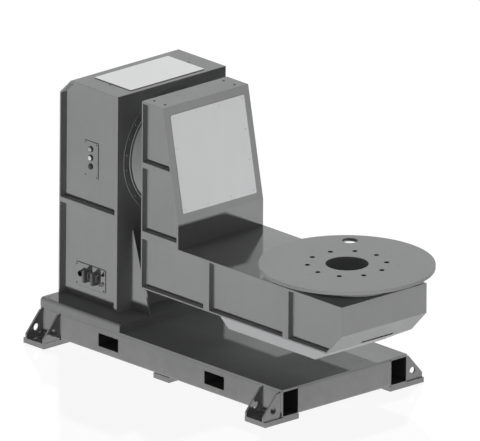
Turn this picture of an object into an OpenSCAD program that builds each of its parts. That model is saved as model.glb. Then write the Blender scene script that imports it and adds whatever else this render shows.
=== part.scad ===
// Two-axis welding positioner. An L-shaped arm turns about a level axis on a
// column, and a round face plate turns on the far end of the arm.
// X runs from the column towards the face plate, Y across the base and Z up.
// The origin is the middle of the base frame, on the floor.

/* [Base frame] */
// Length of the base frame
base_len = 2010; // [1950:10:2300]
// Clearance between the column's far side and the edge of the base
base_margin = 14; // [5:1:60]
// Width of each tube
tube_w = 130; // [100:5:150]
// Height of each tube
tube_h = 160; // [150:5:200]
// Wall of the tubes
tube_wall = 8; // [5:1:12]
// Outer corner radius of the tubes
tube_round = 14; // [12:1:18]
// Width of the members that join the side tubes at both ends
cross_w = 100; // [80:5:140]
// Thickness of the deck plate
deck_t = 6; // [4:1:12]
// Distance between the two fork pockets, middle to middle
fork_gap = 880; // [700:10:960]
// Clear width of a fork pocket
fork_w = 163; // [150:1:180]
// Clear height of a fork pocket
fork_h = 77; // [65:1:85]
// Height of the pocket floor above the underside of the tubes
fork_rise = 43; // [25:1:45]
// Wall of the sleeve that lines a fork pocket
sleeve_wall = 6; // [4:1:8]

/* [Feet] */
// Thickness of the foot plates and the middle pads
foot_t = 30; // [20:1:40]
// Length of a foot plate along the tube
foot_len = 170; // [150:5:220]
// How far a foot plate stands out beyond the tube
foot_out = 129; // [110:1:160]
// Diameter of the floor anchor hole
anchor_d = 34; // [20:1:40]
// Distance of the anchor hole from the tube
anchor_out = 65; // [55:1:80]
// Thickness of a foot gusset
foot_gusset_t = 12; // [8:1:16]
// Distance from the end of the base to the outer gusset
foot_gusset_end = 15; // [5:1:25]
// Distance from the inner gusset to the end of the foot plate
foot_gusset_back = 2; // [0:1:10]
// Width of the flat top of a gusset
foot_gusset_head = 24; // [15:1:40]
// Drop of the gusset's top below the top of the tube
foot_gusset_drop = 13; // [5:1:30]
// Height of the gusset's upright toe
foot_gusset_toe = 27; // [10:1:35]
// Diameter of the lashing hole in a gusset
lash_d = 42; // [30:1:44]
// Distance of the lashing hole from the tube
lash_out = 55; // [45:1:60]
// Height of the lashing hole above the foot plate
lash_rise = 52; // [45:1:60]
// Radius of the weld relief at the root of a gusset
weld_relief = 10; // [6:1:14]
// Length of a middle pad
pad_len = 128; // [100:1:180]

/* [Plinth] */
// Distance from the column's gussets to the front of the plinth
plinth_margin = 9; // [5:1:40]
// Thickness of that plate
plinth_t = 45; // [35:1:60]
// Radius along its two upper side edges
plinth_round = 20; // [8:1:30]
// Diameter of its four corner screw heads
plinth_screw_d = 16; // [12:1:24]
// Distance of those screws from the edges of the plate
plinth_screw_in = 34; // [32:1:60]
// Height of those screw heads
plinth_screw_h = 14; // [8:1:20]

/* [Column] */
// Distance from the bearing ring to the column's sides
column_side = 45; // [30:1:60]
// Height of the column above the tilt axis
column_over = 404; // [390:1:460]
// Distance from the rear end of the base to the column
column_setback = 20; // [10:1:40]
// Sideways offset of the column and arm from the middle of the base
axis_y = 53; // [0:1:55]
// Depth of the slope at the top of the back
column_slope_d = 90; // [40:1:110]
// Height of that slope
column_slope_h = 88; // [40:1:110]
// Thickness of the front plate
column_front_t = 24; // [20:1:30]
// Thickness of the back plate
column_rear_t = 9; // [6:1:12]
// Thickness of the top plate
column_top_t = 12; // [8:1:16]
// Thickness of the bottom plate
column_bottom_t = 12; // [8:1:20]
// Depth of the side panels behind the edges of the plates
column_recess = 46; // [36:1:50]
// Thickness of a side panel
column_panel_t = 8; // [5:1:10]
// Height of the side rib above the foot of the column
column_rib_rise = 551; // [500:1:640]
// Thickness of the side rib
column_rib_t = 29; // [20:1:40]
// How far a front gusset reaches past the back of the arm
column_gusset_past = 41; // [10:1:41]
// Height of a front gusset
column_gusset_h = 480; // [360:1:480]
// Thickness of a front gusset
column_gusset_t = 12; // [8:1:20]
// Distance of each front gusset from the middle of the column
column_gusset_side = 287; // [280:1:330]
// Diameter of a lifting thread in the column's top
lift_d = 14; // [12:1:24]
// Distance of a lifting thread from the lid
lift_out = 18; // [10:1:60]

/* [Column lid] */
// Distance of the lid from the slope behind it
lid_back = 53; // [40:1:90]
// Distance of the lid from the column's sides
lid_side = 130; // [125:1:180]
// Thickness of the lid
lid_t = 4; // [2:1:6]
// Distance of the lid from the column's front
lid_in = 36; // [30:1:60]
// Corner radius of the lid
lid_round = 8; // [4:1:20]
// How far the lid laps over the edge of its opening
lid_lap = 20; // [12:1:40]

/* [Switch plate] */
// Distance from the column's back to the middle of the two plates
fittings_in = 219; // [180:1:240]
// Width of the switch plate
switch_plate_w = 112; // [90:1:130]
// Height of the switch plate
switch_plate_h = 213; // [180:1:240]
// Height of its middle above the plinth
switch_rise = 842; // [760:1:900]
// Height of the middle button above the middle of its plate
button_rise = 12; // [0:1:16]
// Thickness of the two plates
fitting_t = 6; // [3:1:8]
// Distance between two buttons
button_pitch = 52; // [46:1:60]
// Diameter of a button's collar
collar_d = 30; // [28:1:36]
// Length of a button's collar
collar_len = 9; // [5:1:12]
// Diameter of a button's cap
button_d = 26; // [18:1:26]
// How far a cap stands out of its collar
button_out = 6; // [5:1:16]
// Travel of a button
button_travel = 4; // [3:1:6]
// Depth of a switch body behind the panel
switch_depth = 46; // [30:1:60]
// Side of a switch body
switch_side = 34; // [28:1:40]

/* [Socket plate] */
// Width of the socket plate
socket_plate_w = 246; // [246:1:280]
// Height of the socket plate
socket_plate_h = 135; // [130:1:180]
// Height of its middle above the plinth
socket_rise = 142; // [120:1:200]
// Width of a connector hood
hood_w = 22; // [16:1:28]
// How far a hood stands out from its frame
hood_out = 52; // [40:1:60]
// Height of a hood
hood_h = 80; // [60:1:84]
// Width of the frame that a hood locks onto
hood_frame_w = 30; // [28:1:34]
// Thickness of that frame
hood_frame_t = 10; // [6:1:14]
// Wall of a hood
hood_wall = 3; // [2:1:4]
// Diameter of the round inlet
inlet_d = 42; // [36:1:44]
// How far the inlet stands out
inlet_out = 38; // [24:1:44]
// Bore of the inlet
inlet_bore_d = 30; // [20:1:32]
// Diameter of the air coupling
coupling_d = 24; // [20:1:26]
// How far the coupling stands out
coupling_out = 26; // [16:1:36]
// Bore of the coupling
coupling_bore_d = 15; // [8:1:16]
// Diameter of the earth stud
stud_d = 10; // [8:1:12]
// How far the stud stands out
stud_out = 18; // [12:1:30]

/* [Tilt bearing] */
// Clearance between the arm's bottom cover and the deck
arm_gap = 117; // [100:1:160]
// Gap between the column and the back of the arm
drum_gap = 104; // [96:1:140]
// How far the dust lip stands out past the drum
lip_out = 12; // [8:1:20]
// How far the drum reaches into the column
drum_in = 40; // [34:1:60]
// Bore through the drum for cables
drum_bore_d = 240; // [160:1:300]
// Width of the fixed bearing ring
race_w = 50; // [40:1:70]
// Thickness of the fixed bearing ring
race_t = 16; // [14:1:22]
// Depth of its seat in the column's front plate
race_seat = 12; // [8:1:12]
// How far the dust lip stands out past each side of the arm
lip_over = 4; // [0:1:12]
// Thickness of the dust lip
lip_t = 8; // [4:1:12]
// Running gap beside a dust lip or a turning flange
face_gap = 2; // [1:0.5:4]
// Radial running fit of a bearing or shaft
run_gap = 0.08; // [0.04:0.01:0.1]

/* [Tilt drive] */
// Distance from the drum's rim in to the pitch circle of its gear
tilt_gear_in = 30; // [24:1:40]
// Teeth of the tilt gear
tilt_gear_teeth = 48; // [46:1:48]
// Teeth of the tilt pinion
tilt_pinion_teeth = 16; // [16:1:18]
// Face width of the tilt gears
tilt_gear_w = 50; // [30:1:52]
// Bore of the tilt gear
tilt_gear_bore_d = 420; // [360:1:460]
// Play between the teeth of a gear pair
backlash = 0.8; // [0.6:0.1:1.2]
// Gap between a gear and the plate that carries its drive
gear_gap = 20; // [10:1:24]
// Thickness of a drive plate
drive_plate_t = 20; // [12:1:22]
// Height of the tilt drive plate
tilt_plate_h = 260; // [230:1:300]
// Diameter of the tilt gearbox
tilt_box_d = 200; // [160:1:220]
// Length of the tilt gearbox
tilt_box_len = 148; // [120:1:150]
// Diameter of a gearbox's locating boss
pilot_d = 110; // [100:1:120]
// Diameter of the tilt pinion's shaft
tilt_shaft_d = 70; // [50:1:80]
// Side of the tilt motor
tilt_motor_side = 150; // [120:1:160]
// Length of the tilt motor
tilt_motor_len = 175; // [150:1:180]
// Clearance behind the tilt motor
motor_gap = 21; // [15:1:60]
// Corner radius of the motors
motor_round = 12; // [6:1:18]

/* [Arm] */
// Width of the arm
arm_w = 652; // [640:1:700]
// Distance from the tilt axis down to the arm's underside
arm_drop = 724; // [700:1:740]
// Height of the arm's head above the tilt axis
head_over = 388; // [370:1:440]
// Distance from the turning axis to the arm's tip
tip_reach = 310; // [300:1:360]
// Depth of the beam that carries the face plate
beam_h = 306; // [300:1:320]
// Depth of the head at its top
head_top_d = 177; // [130:1:200]
// Depth of the head above the beam
head_foot_d = 308; // [290:1:330]
// Height of the upright part of the head's face above the beam
head_step_h = 155; // [120:1:220]
// Length of the slope under the arm's tip
tip_slope_len = 123; // [80:1:124]
// Height of that slope
tip_slope_h = 130; // [60:1:140]
// Depth of the side panels behind the edges of the plates
arm_recess = 40; // [30:1:44]
// Thickness of a side panel
arm_panel_t = 8; // [5:1:10]
// Thickness of the arm's back plate
arm_rear_t = 9; // [8:1:16]
// Thickness of its bottom plate
arm_bottom_t = 8; // [6:1:12]
// Thickness of its top plates and of the plate at its tip
arm_top_t = 12; // [8:1:14]
// Thickness of the plates along the face of the head
arm_face_t = 14; // [8:1:20]
// Height of the head rib above the arm's underside
head_rib_rise = 719; // [660:1:800]
// Thickness of the head rib
head_rib_t = 32; // [20:1:40]
// Height of the rib between head and beam
knee_rib_rise = 296; // [285:1:310]
// Thickness of that rib
knee_rib_t = 46; // [30:1:60]
// Distance from the arm's back to the first beam rib
first_rib_in = 520; // [480:1:600]
// Distance from the arm's back to the second beam rib
second_rib_in = 1179; // [1100:1:1240]
// Thickness of a beam rib
beam_rib_t = 48; // [30:1:60]

/* [Arm covers] */
// Distance of the cover on the head's slope from the arm's sides
front_cover_side = 44; // [36:1:80]
// Distance from the foot of the slope to that cover
front_cover_low = 46; // [30:1:80]
// Distance from that cover to the top of the slope
front_cover_top = 50; // [30:1:80]
// Thickness of that cover
front_cover_t = 3; // [2:1:5]
// Corner radius of that cover
front_cover_round = 8; // [4:1:20]
// How far it laps over the edge of its opening
front_cover_lap = 44; // [40:1:60]
// Head diameter of the screws on top of the head
head_screw_d = 12; // [8:1:16]
// Height of those screw heads
head_screw_h = 4; // [2:1:6]
// Distance of the rear pair from the arm's back
head_screw_rear = 37; // [25:1:50]
// Distance between the rear and the front pair
head_screw_gap = 90; // [60:1:96]
// Distance of the screws from the arm's sides
head_screw_side = 60; // [48:1:100]

/* [Bottom cover] */
// Depth of the bottom cover
pan_h = 90; // [80:1:100]
// How far each side of the bottom cover leans in
pan_lean = 65; // [40:1:70]
// How far its front leans back
pan_front_lean = 167; // [80:1:180]
// Sheet thickness of the bottom cover
pan_wall = 5; // [3:1:6]
// Width of the flange round the opening above the cover
pan_lap = 70; // [60:1:100]
// Width of the cooling slot under the arm's tip
slot_w = 245; // [120:1:260]
// Height of the cooling slot
slot_h = 12; // [8:1:26]
// How far the slot reaches to the near side of the arm's middle
slot_near = 69; // [40:1:120]

/* [Face plate] */
// Distance from the arm's back to the turning axis
table_reach = 1359; // [1340:1:1370]
// Height of the face plate's top above the beam
table_rise = 111; // [100:1:140]
// Diameter of the face plate
table_d = 1000; // [900:5:1000]
// Thickness of the face plate
table_t = 20; // [16:1:36]
// Bore through the face plate and its hub
table_bore_d = 244; // [200:1:250]
// Circle of the clamping holes
clamp_circle_d = 450; // [400:1:480]
// Diameter of a clamping hole
clamp_d = 26; // [16:1:26]
// Number of clamping holes
clamp_count = 10; // [6:1:12]
// Circle of the plate screws
screw_circle_d = 578; // [560:1:580]
// Diameter of a plate screw's head
screw_d = 8; // [6:1:10]
// Number of plate screws
screw_count = 8; // [6:1:12]
// Diameter of the cable hole beside the hub
side_hole_d = 88; // [60:1:90]
// Distance of the cable hole from the turning axis
side_hole_out = 405; // [385:1:405]

/* [Table bearing and drive] */
// Distance from the hub to the arm's sides
hub_side = 126; // [110:1:140]
// Distance from the hub's top flange to the arm's sides
flange_side = 21; // [10:1:40]
// Thickness of that flange
flange_t = 29; // [20:1:32]
// How far the hub reaches below the top of the beam
hub_drop = 60; // [50:1:64]
// Distance from the fixed ring round the hub to the arm's sides
table_race_side = 41; // [30:1:60]
// Gap round the hub where it passes through the beam
hub_clear = 15; // [8:1:16]
// Distance from the hub's rim out to the pitch circle of its gear
table_gear_out = 16; // [12:1:24]
// Teeth of the table gear
table_gear_teeth = 54; // [54:1:55]
// Teeth of the table pinion
table_pinion_teeth = 18; // [17:1:18]
// Face width of the table gears
table_gear_w = 40; // [30:1:44]
// Bore of the table gear
table_gear_bore_d = 280; // [260:1:300]
// Length of the table drive plate
table_plate_len = 230; // [215:1:240]
// Clearance below the angle drive
angle_gap = 15; // [10:1:40]
// Diameter of the table gearbox
table_box_d = 150; // [140:1:160]
// Side of the angle drive under that gearbox
angle_side = 116; // [100:1:118]
// Diameter of the table pinion's shaft
table_shaft_d = 50; // [36:1:60]
// Side of the table motor
table_motor_side = 104; // [80:1:110]
// Length of the table motor
table_motor_len = 250; // [200:1:260]
// Clearance behind the table motor
table_motor_gap = 68; // [40:1:100]
// Head diameter of the bolts that hold rings and gears
bolt_d = 24; // [16:1:28]
// Height of those bolt heads
bolt_h = 12; // [8:1:14]
// Number of bolts on each ring or gear
bolt_count = 12; // [8:1:16]

/* [Hidden] */
$fn = 96;

paint = [0.62, 0.63, 0.64];
paint_dark = [0.56, 0.57, 0.58];
pale = [0.83, 0.84, 0.85];
steel = [0.70, 0.71, 0.73];
dark = [0.16, 0.16, 0.17];
drive_grey = [0.32, 0.33, 0.35];
white = [0.93, 0.93, 0.92];

// Overrun of a cut past the face that it opens
over = 1;
// Radial play of a screw head in its counterbore
seat_gap = 0.2;

// Sizes across the axes, from the arm's width outwards and inwards
lip_d = arm_w + 2 * lip_over;
drum_d = lip_d - 2 * lip_out;
race_d = drum_d + 2 * race_w;
column_w = race_d + 2 * column_side;
base_w = column_w + 2 * (axis_y + base_margin);
lid_w = column_w - 2 * lid_side;
lift_in = lid_side - lift_out;
front_cover_w = arm_w - 2 * front_cover_side;
hub_d = arm_w - 2 * hub_side;
flange_d = arm_w - 2 * flange_side;
table_race_d = arm_w - 2 * table_race_side;
tilt_module = (drum_d - 2 * tilt_gear_in) / tilt_gear_teeth;
table_module = (hub_d + 2 * table_gear_out) / table_gear_teeth;

// Lengths that follow from what stands in line
column_d = drum_in + tilt_gear_w + gear_gap + drive_plate_t + tilt_box_len + tilt_motor_len
    + motor_gap + column_rear_t;
column_gusset_out = drum_gap + column_gusset_past;
plinth_len = column_setback + column_d + column_gusset_out + plinth_margin;
lid_d = column_d - lid_in - column_slope_d - lid_back;
arm_len = table_reach + tip_reach;
arm_h = arm_drop + head_over;
table_box_len = beam_h + pan_h - hub_drop - table_gear_w - gear_gap - drive_plate_t - angle_side
    - pan_wall - angle_gap;

// Heights of the stack from the floor to the arm
deck_z = foot_t + tube_h;
plinth_z = deck_z + deck_t;
column_z = plinth_z + plinth_t;
arm_z = plinth_z + arm_gap + pan_h;
axis_z = arm_z + arm_drop;
column_h = axis_z - column_z + column_over;
button_z = column_z + switch_rise + button_rise;
beam_top_z = arm_z + beam_h;
table_z = beam_top_z + table_rise - table_t;

// Places along the base
base_end = base_len / 2;
base_side = base_w / 2;
column_x = -base_end + column_setback;
front_x = column_x + column_d;
arm_x = front_x + drum_gap;
table_x = arm_x + table_reach;
column_y = axis_y - column_w / 2;
panel_y = column_y + column_recess;
fittings_x = column_x + fittings_in;

// Clear width between the side panels of the column and of the arm
column_inside = column_w - 2 * (column_recess + column_panel_t);
arm_inside = arm_w - 2 * (arm_recess + arm_panel_t);

// Distances between the shafts of the two gear pairs
tilt_centres = tilt_module * (tilt_gear_teeth + tilt_pinion_teeth) / 2;
table_centres = table_module * (table_gear_teeth + table_pinion_teeth) / 2;

// Places of the tilt drive behind the column's front
tilt_gear_x = front_x - drum_in - tilt_gear_w;
tilt_plate_x = tilt_gear_x - gear_gap - drive_plate_t;

// Places of the table drive below the beam's top
table_gear_z = beam_top_z - hub_drop - table_gear_w;
table_plate_z = table_gear_z - gear_gap - drive_plate_t;
angle_z = table_plate_z - table_box_len - angle_side;
table_pinion_x = table_x - table_centres;
pan_in = table_reach - table_centres - angle_side / 2 - table_motor_len - table_motor_gap
    - pan_lap / 2;

// Places of the fittings on the socket plate, as shares of its size
inlet_share = [-0.19, 0.14];
power_share = [0.01, 0.13];
signal_share = [0.29, 0.12];
coupling_share = [0.43, -0.13];
stud_share = [0.44, 0.3];

// Form of the gear teeth
pressure_angle = 20;
root_depth_share = 1.25;
flank_steps = 3;

// Unit normal to the left of the edge from a to b
function edge_normal(a, b) = [a[1] - b[1], b[0] - a[0]] / norm(b - a);

// Corner p moved so that it lies s and t inside its two edges
function inset_corner(p, a, s, b, t) =
    p + [s * b[1] - t * a[1], t * a[0] - s * b[0]] / (a[0] * b[1] - a[1] * b[0]);

// Outline moved inwards by its own distance on each edge
function inset_outline(points, ins) = let (n = len(points)) [
    for (i = [0 : n - 1])
        let (before = (i + n - 1) % n, after = (i + 1) % n)
        inset_corner(points[i], edge_normal(points[before], points[i]), ins[before],
            edge_normal(points[i], points[after]), ins[i])
];

// Angle by which an involute has left its base circle
function involute(angle) = tan(angle) * 180 / PI - angle;

// Half of the angle that one tooth takes up at radius r
function half_tooth(teeth, module_size, r) =
    let (pitch_r = teeth * module_size / 2, base_r = pitch_r * cos(pressure_angle))
    90 / teeth - backlash / 4 / pitch_r * 180 / PI + involute(pressure_angle)
        - involute(acos(min(1, base_r / r)));

function polar(r, angle) = [r * cos(angle), r * sin(angle)];

// Outline of one tooth, from root to root
function tooth(teeth, module_size, angle) =
    let (pitch_r = teeth * module_size / 2,
        root_r = pitch_r - root_depth_share * module_size,
        start_r = max(root_r, pitch_r * cos(pressure_angle)),
        flank_r = [for (k = [0 : flank_steps]) start_r
            + (pitch_r + module_size - start_r) * k / flank_steps],
        foot = half_tooth(teeth, module_size, start_r))
    concat([polar(root_r, angle - foot)],
        [for (r = flank_r) polar(r, angle - half_tooth(teeth, module_size, r))],
        [for (k = [flank_steps : -1 : 0])
            polar(flank_r[k], angle + half_tooth(teeth, module_size, flank_r[k]))],
        [polar(root_r, angle + foot)]);

module spur_gear(teeth, module_size, width) {
    linear_extrude(width)
        polygon([for (i = [0 : teeth - 1]) each tooth(teeth, module_size, i * 360 / teeth)]);
}

module rounded_rect(w, h, r) {
    square([w - 2 * r, h], center = true);
    square([w, h - 2 * r], center = true);
    for (x = [r - w / 2, w / 2 - r], y = [r - h / 2, h / 2 - r])
        translate([x, y]) circle(r = r);
}

module tube_section(w, h, wall, r) {
    difference() {
        rounded_rect(w, h, r);
        rounded_rect(w - 2 * wall, h - 2 * wall, r - wall);
    }
}

module ring(r_out, r_in, h) {
    difference() {
        cylinder(r = r_out, h = h);
        translate([0, 0, -over]) cylinder(r = r_in, h = h + 2 * over);
    }
}

module bolt_circle(r, count) {
    for (i = [0 : count - 1]) rotate(i * 360 / count) translate([r, 0, 0]) children();
}

module hex_head(d, h) {
    cylinder(d = d, h = h, $fn = 6);
}

// An outline in X and Z, made t thick along Y from y onwards
module across(y, t) {
    translate([0, y + t, 0]) rotate([90, 0, 0]) linear_extrude(t) children();
}

// An outline in Y and Z, made t thick along X from x onwards
module along(x, t) {
    translate([x, 0, 0]) rotate([90, 0, 90]) linear_extrude(t) children();
}

// Local Z along the tilt axis, with local X pointing down
module on_tilt_axis(x) {
    translate([x, axis_y, axis_z]) rotate([0, 90, 0]) children();
}

module on_table_axis(z) {
    translate([table_x, axis_y, z]) children();
}

// Local Z straight out of the column's near side panel
module on_panel(x, z) {
    translate([fittings_x + x, panel_y, z]) rotate([90, 0, 0]) children();
}

// Base frame

module side_tube(side) {
    middle = side * (base_side - tube_w / 2);
    difference() {
        translate([0, middle, foot_t + tube_h / 2]) along(-base_end, base_len)
            tube_section(tube_w, tube_h, tube_wall, tube_round);
        for (x = [-fork_gap / 2, fork_gap / 2])
            translate([x, middle, foot_t + fork_rise + fork_h / 2])
                cube([fork_w + 2 * sleeve_wall, tube_w + 2 * over, fork_h + 2 * sleeve_wall],
                    center = true);
    }
}

module side_tube_near() {
    color(paint) side_tube(-1);
}

module side_tube_far() {
    color(paint) side_tube(1);
}

module cross_member(x) {
    inner = base_side - tube_w;
    translate([x + cross_w / 2, 0, foot_t + tube_h / 2]) across(-inner, 2 * inner)
        tube_section(cross_w, tube_h, tube_wall, tube_round);
}

module front_cross_member() {
    color(paint) cross_member(base_end - cross_w);
}

module rear_cross_member() {
    color(paint) cross_member(-base_end);
}

module fork_sleeve(x) {
    translate([x, 0, foot_t + fork_rise + fork_h / 2]) across(-base_side, base_w)
        difference() {
            square([fork_w + 2 * sleeve_wall, fork_h + 2 * sleeve_wall], center = true);
            square([fork_w, fork_h], center = true);
        }
}

module front_fork_sleeve() {
    color(paint_dark) fork_sleeve(fork_gap / 2);
}

module rear_fork_sleeve() {
    color(paint_dark) fork_sleeve(-fork_gap / 2);
}

module deck_plate() {
    color(paint) translate([-base_end, -base_side, deck_z]) cube([base_len, base_w, deck_t]);
}

module foot_gusset_outline() {
    top = tube_h - foot_gusset_drop;
    difference() {
        polygon([[0, 0], [foot_out, 0], [foot_out, foot_gusset_toe],
            [foot_gusset_head, top], [0, top]]);
        circle(r = weld_relief);
        translate([lash_out, lash_rise]) circle(d = lash_d);
    }
}

// Foot plate and two gussets at the corner where both coordinates are positive
module corner_foot() {
    plate_w = tube_w + foot_out;
    inner_x = base_end - foot_len + foot_gusset_back;
    outer_x = base_end - foot_gusset_end - foot_gusset_t;
    anchor_x = (inner_x + foot_gusset_t + outer_x) / 2;
    difference() {
        translate([base_end - foot_len, base_side - tube_w, 0]) cube([foot_len, plate_w, foot_t]);
        translate([anchor_x, base_side + anchor_out, -over])
            cylinder(d = anchor_d, h = foot_t + 2 * over);
    }
    for (x = [inner_x, outer_x])
        translate([0, base_side, foot_t]) along(x, foot_gusset_t) foot_gusset_outline();
}

module foot_front_near() {
    color(paint) mirror([0, 1, 0]) corner_foot();
}

module foot_front_far() {
    color(paint) corner_foot();
}

module foot_rear_near() {
    color(paint) mirror([1, 0, 0]) mirror([0, 1, 0]) corner_foot();
}

module foot_rear_far() {
    color(paint) mirror([1, 0, 0]) corner_foot();
}

module mid_pads() {
    color(paint_dark)
        for (y = [-base_side, base_side - tube_w])
            translate([-pad_len / 2, y, 0]) cube([pad_len, tube_w, foot_t]);
}

// Plinth

module plinth_outline() {
    translate([-base_side, 0]) square([base_w, plinth_t - plinth_round]);
    translate([plinth_round - base_side, 0]) square([base_w - 2 * plinth_round, plinth_t]);
    for (y = [plinth_round - base_side, base_side - plinth_round])
        translate([y, plinth_t - plinth_round]) circle(r = plinth_round);
}

module at_plinth_screws() {
    for (x = [plinth_screw_in, plinth_len - plinth_screw_in],
            y = [plinth_screw_in - base_side, base_side - plinth_screw_in])
        translate([x - base_end, y, plinth_z + plinth_t - plinth_screw_h]) children();
}

module plinth_plate() {
    color(paint) difference() {
        translate([0, 0, plinth_z]) along(-base_end, plinth_len) plinth_outline();
        at_plinth_screws() cylinder(r = plinth_screw_d / 2 + seat_gap, h = plinth_screw_h + over);
    }
}

module plinth_screws() {
    key_d = plinth_screw_d / 2;
    key_h = plinth_screw_h / 2;
    color(dark) at_plinth_screws() difference() {
        cylinder(d = plinth_screw_d, h = plinth_screw_h);
        translate([0, 0, plinth_screw_h - key_h]) hex_head(key_d, key_h + over);
    }
}

// Column

// Side view of the column, counter-clockwise from the foot of its back
column_top_z = column_z + column_h;
column_outline = [[column_x, column_z], [front_x, column_z], [front_x, column_top_z],
    [column_x + column_slope_d, column_top_z], [column_x, column_top_z - column_slope_h]];
column_inner = inset_outline(column_outline,
    [column_bottom_t, column_front_t, column_top_t, column_rear_t, column_rear_t]);
// The side recesses are open down to the plinth
column_recess_outline = inset_outline(column_outline,
    [-over, column_front_t, column_top_t, column_rear_t, column_rear_t]);

module column_side_recess(y) {
    across(y, column_recess + over) difference() {
        polygon(column_recess_outline);
        translate([column_x, column_z + column_rib_rise]) square([column_d, column_rib_t]);
    }
}

lid_x = front_x - lid_in - lid_d;

module column_housing() {
    color(paint) difference() {
        across(column_y, column_w) polygon(column_outline);
        column_side_recess(column_y - over);
        column_side_recess(column_y + column_w - column_recess);
        across(axis_y - column_inside / 2, column_inside) polygon(column_inner);
        on_tilt_axis(front_x - race_seat) cylinder(r = race_d / 2 + seat_gap, h = race_seat + over);
        on_tilt_axis(front_x - column_front_t - over)
            cylinder(r = drum_d / 2 + hub_clear, h = column_front_t);
        translate([lid_x + lid_lap, axis_y - lid_w / 2 + lid_lap, column_top_z - column_top_t - over])
            cube([lid_d - 2 * lid_lap, lid_w - 2 * lid_lap, column_top_t + 2 * over]);
        for (y = [column_y + lift_in, column_y + column_w - lift_in])
            translate([lid_x + lid_d / 2, y, column_top_z - column_top_t - over])
                cylinder(d = lift_d, h = column_top_t + 2 * over);
        for (i = [-1 : 1])
            on_panel(0, button_z + i * button_pitch)
                translate([0, 0, -column_panel_t - over])
                    cylinder(d = collar_d, h = column_panel_t + 2 * over);
        on_panel(0, column_z + socket_rise) translate([0, 0, -column_panel_t / 2])
            cube([socket_plate_w - 2 * lid_lap, socket_plate_h - 2 * lid_lap,
                column_panel_t + 2 * over], center = true);
    }
}

module column_gussets() {
    color(paint)
        for (side = [-1, 1])
            across(axis_y + side * column_gusset_side - column_gusset_t / 2, column_gusset_t)
                polygon([[front_x, column_z], [front_x + column_gusset_out, column_z],
                    [front_x, column_z + column_gusset_h]]);
}

module column_lid() {
    color(pale) translate([lid_x + lid_d / 2, axis_y, column_top_z])
        linear_extrude(lid_t) rounded_rect(lid_d, lid_w, lid_round);
}

// Fittings on the column's near side

module switch_plate() {
    color(paint) difference() {
        union() {
            on_panel(0, column_z + switch_rise)
                linear_extrude(fitting_t) square([switch_plate_w, switch_plate_h], center = true);
            for (i = [-1 : 1])
                on_panel(0, button_z + i * button_pitch)
                    cylinder(d = collar_d, h = fitting_t + collar_len);
        }
        for (i = [-1 : 1])
            on_panel(0, button_z + i * button_pitch) translate([0, 0, -over])
                cylinder(r = button_d / 2 + run_gap, h = fitting_t + collar_len + 2 * over);
    }
}

// Push button that stops just short of the switch body when it is pressed
module button(place) {
    inner_end = button_travel + face_gap / 2 - column_panel_t;
    on_panel(0, button_z + place * button_pitch) translate([0, 0, inner_end])
        cylinder(d = button_d, h = fitting_t + collar_len + button_out - inner_end);
}

module button_upper() {
    color(pale) button(1);
}

module button_middle() {
    color(white) button(0);
}

module button_lower() {
    color(dark) button(-1);
}

module switch_bodies() {
    color(dark)
        for (i = [-1 : 1])
            on_panel(0, button_z + i * button_pitch)
                translate([-switch_side / 2, -switch_side / 2, -column_panel_t - switch_depth])
                    cube([switch_side, switch_side, switch_depth]);
}

module on_socket_plate(share) {
    on_panel(share[0] * socket_plate_w, column_z + socket_rise + share[1] * socket_plate_h)
        translate([0, 0, fitting_t]) children();
}

module socket_plate() {
    color(paint) on_panel(0, column_z + socket_rise)
        linear_extrude(fitting_t) square([socket_plate_w, socket_plate_h], center = true);
}

// Hollow hood on its locking frame, with two levers beside it
module connector() {
    frame_h = hood_h + hood_frame_t;
    lever_h = hood_h / 2;
    linear_extrude(hood_frame_t) difference() {
        square([hood_frame_w, frame_h], center = true);
        square([hood_w - 2 * hood_wall, hood_h - 2 * hood_wall], center = true);
    }
    translate([0, 0, hood_frame_t]) difference() {
        linear_extrude(hood_out) rounded_rect(hood_w, hood_h, hood_wall);
        translate([0, 0, -over]) linear_extrude(hood_out - hood_wall + over)
            square([hood_w - 2 * hood_wall, hood_h - 2 * hood_wall], center = true);
    }
    for (side = [-1, 1])
        translate([side * (hood_frame_w - hood_wall) / 2, 0, hood_frame_t + lever_h / 2])
            cube([hood_wall, lever_h, lever_h], center = true);
}

module power_connector() {
    color(dark) on_socket_plate(power_share) connector();
}

module signal_connector() {
    color(dark) on_socket_plate(signal_share) connector();
}

module round_inlet() {
    color(dark) on_socket_plate(inlet_share) difference() {
        union() {
            cylinder(d = inlet_d, h = inlet_out / 3);
            cylinder(d = (inlet_d + inlet_bore_d) / 2, h = inlet_out);
        }
        translate([0, 0, inlet_out / 3]) cylinder(d = inlet_bore_d, h = inlet_out);
    }
}

module air_coupling() {
    color(steel) on_socket_plate(coupling_share) difference() {
        union() {
            hex_head(coupling_d, coupling_out / 2);
            cylinder(d = (coupling_d + coupling_bore_d) / 2, h = coupling_out);
        }
        translate([0, 0, coupling_out / 3]) cylinder(d = coupling_bore_d, h = coupling_out);
    }
}

module earth_stud() {
    color(dark) on_socket_plate(stud_share) {
        hex_head(2 * stud_d, stud_out / 3);
        cylinder(d = stud_d, h = stud_out);
    }
}

// Tilt bearing and drive

module tilt_fixed_ring() {
    color(paint_dark) on_tilt_axis(front_x - race_seat)
        ring(race_d / 2, drum_d / 2 + run_gap, race_t);
}

module tilt_drum() {
    lip_x = front_x - race_seat + race_t + face_gap;
    color(paint_dark) difference() {
        union() {
            on_tilt_axis(front_x - drum_in) cylinder(d = drum_d, h = drum_in + drum_gap);
            on_tilt_axis(lip_x) cylinder(d = lip_d, h = lip_t);
        }
        on_tilt_axis(front_x - drum_in - over)
            cylinder(d = drum_bore_d, h = drum_in + drum_gap + 2 * over);
    }
}

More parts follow.
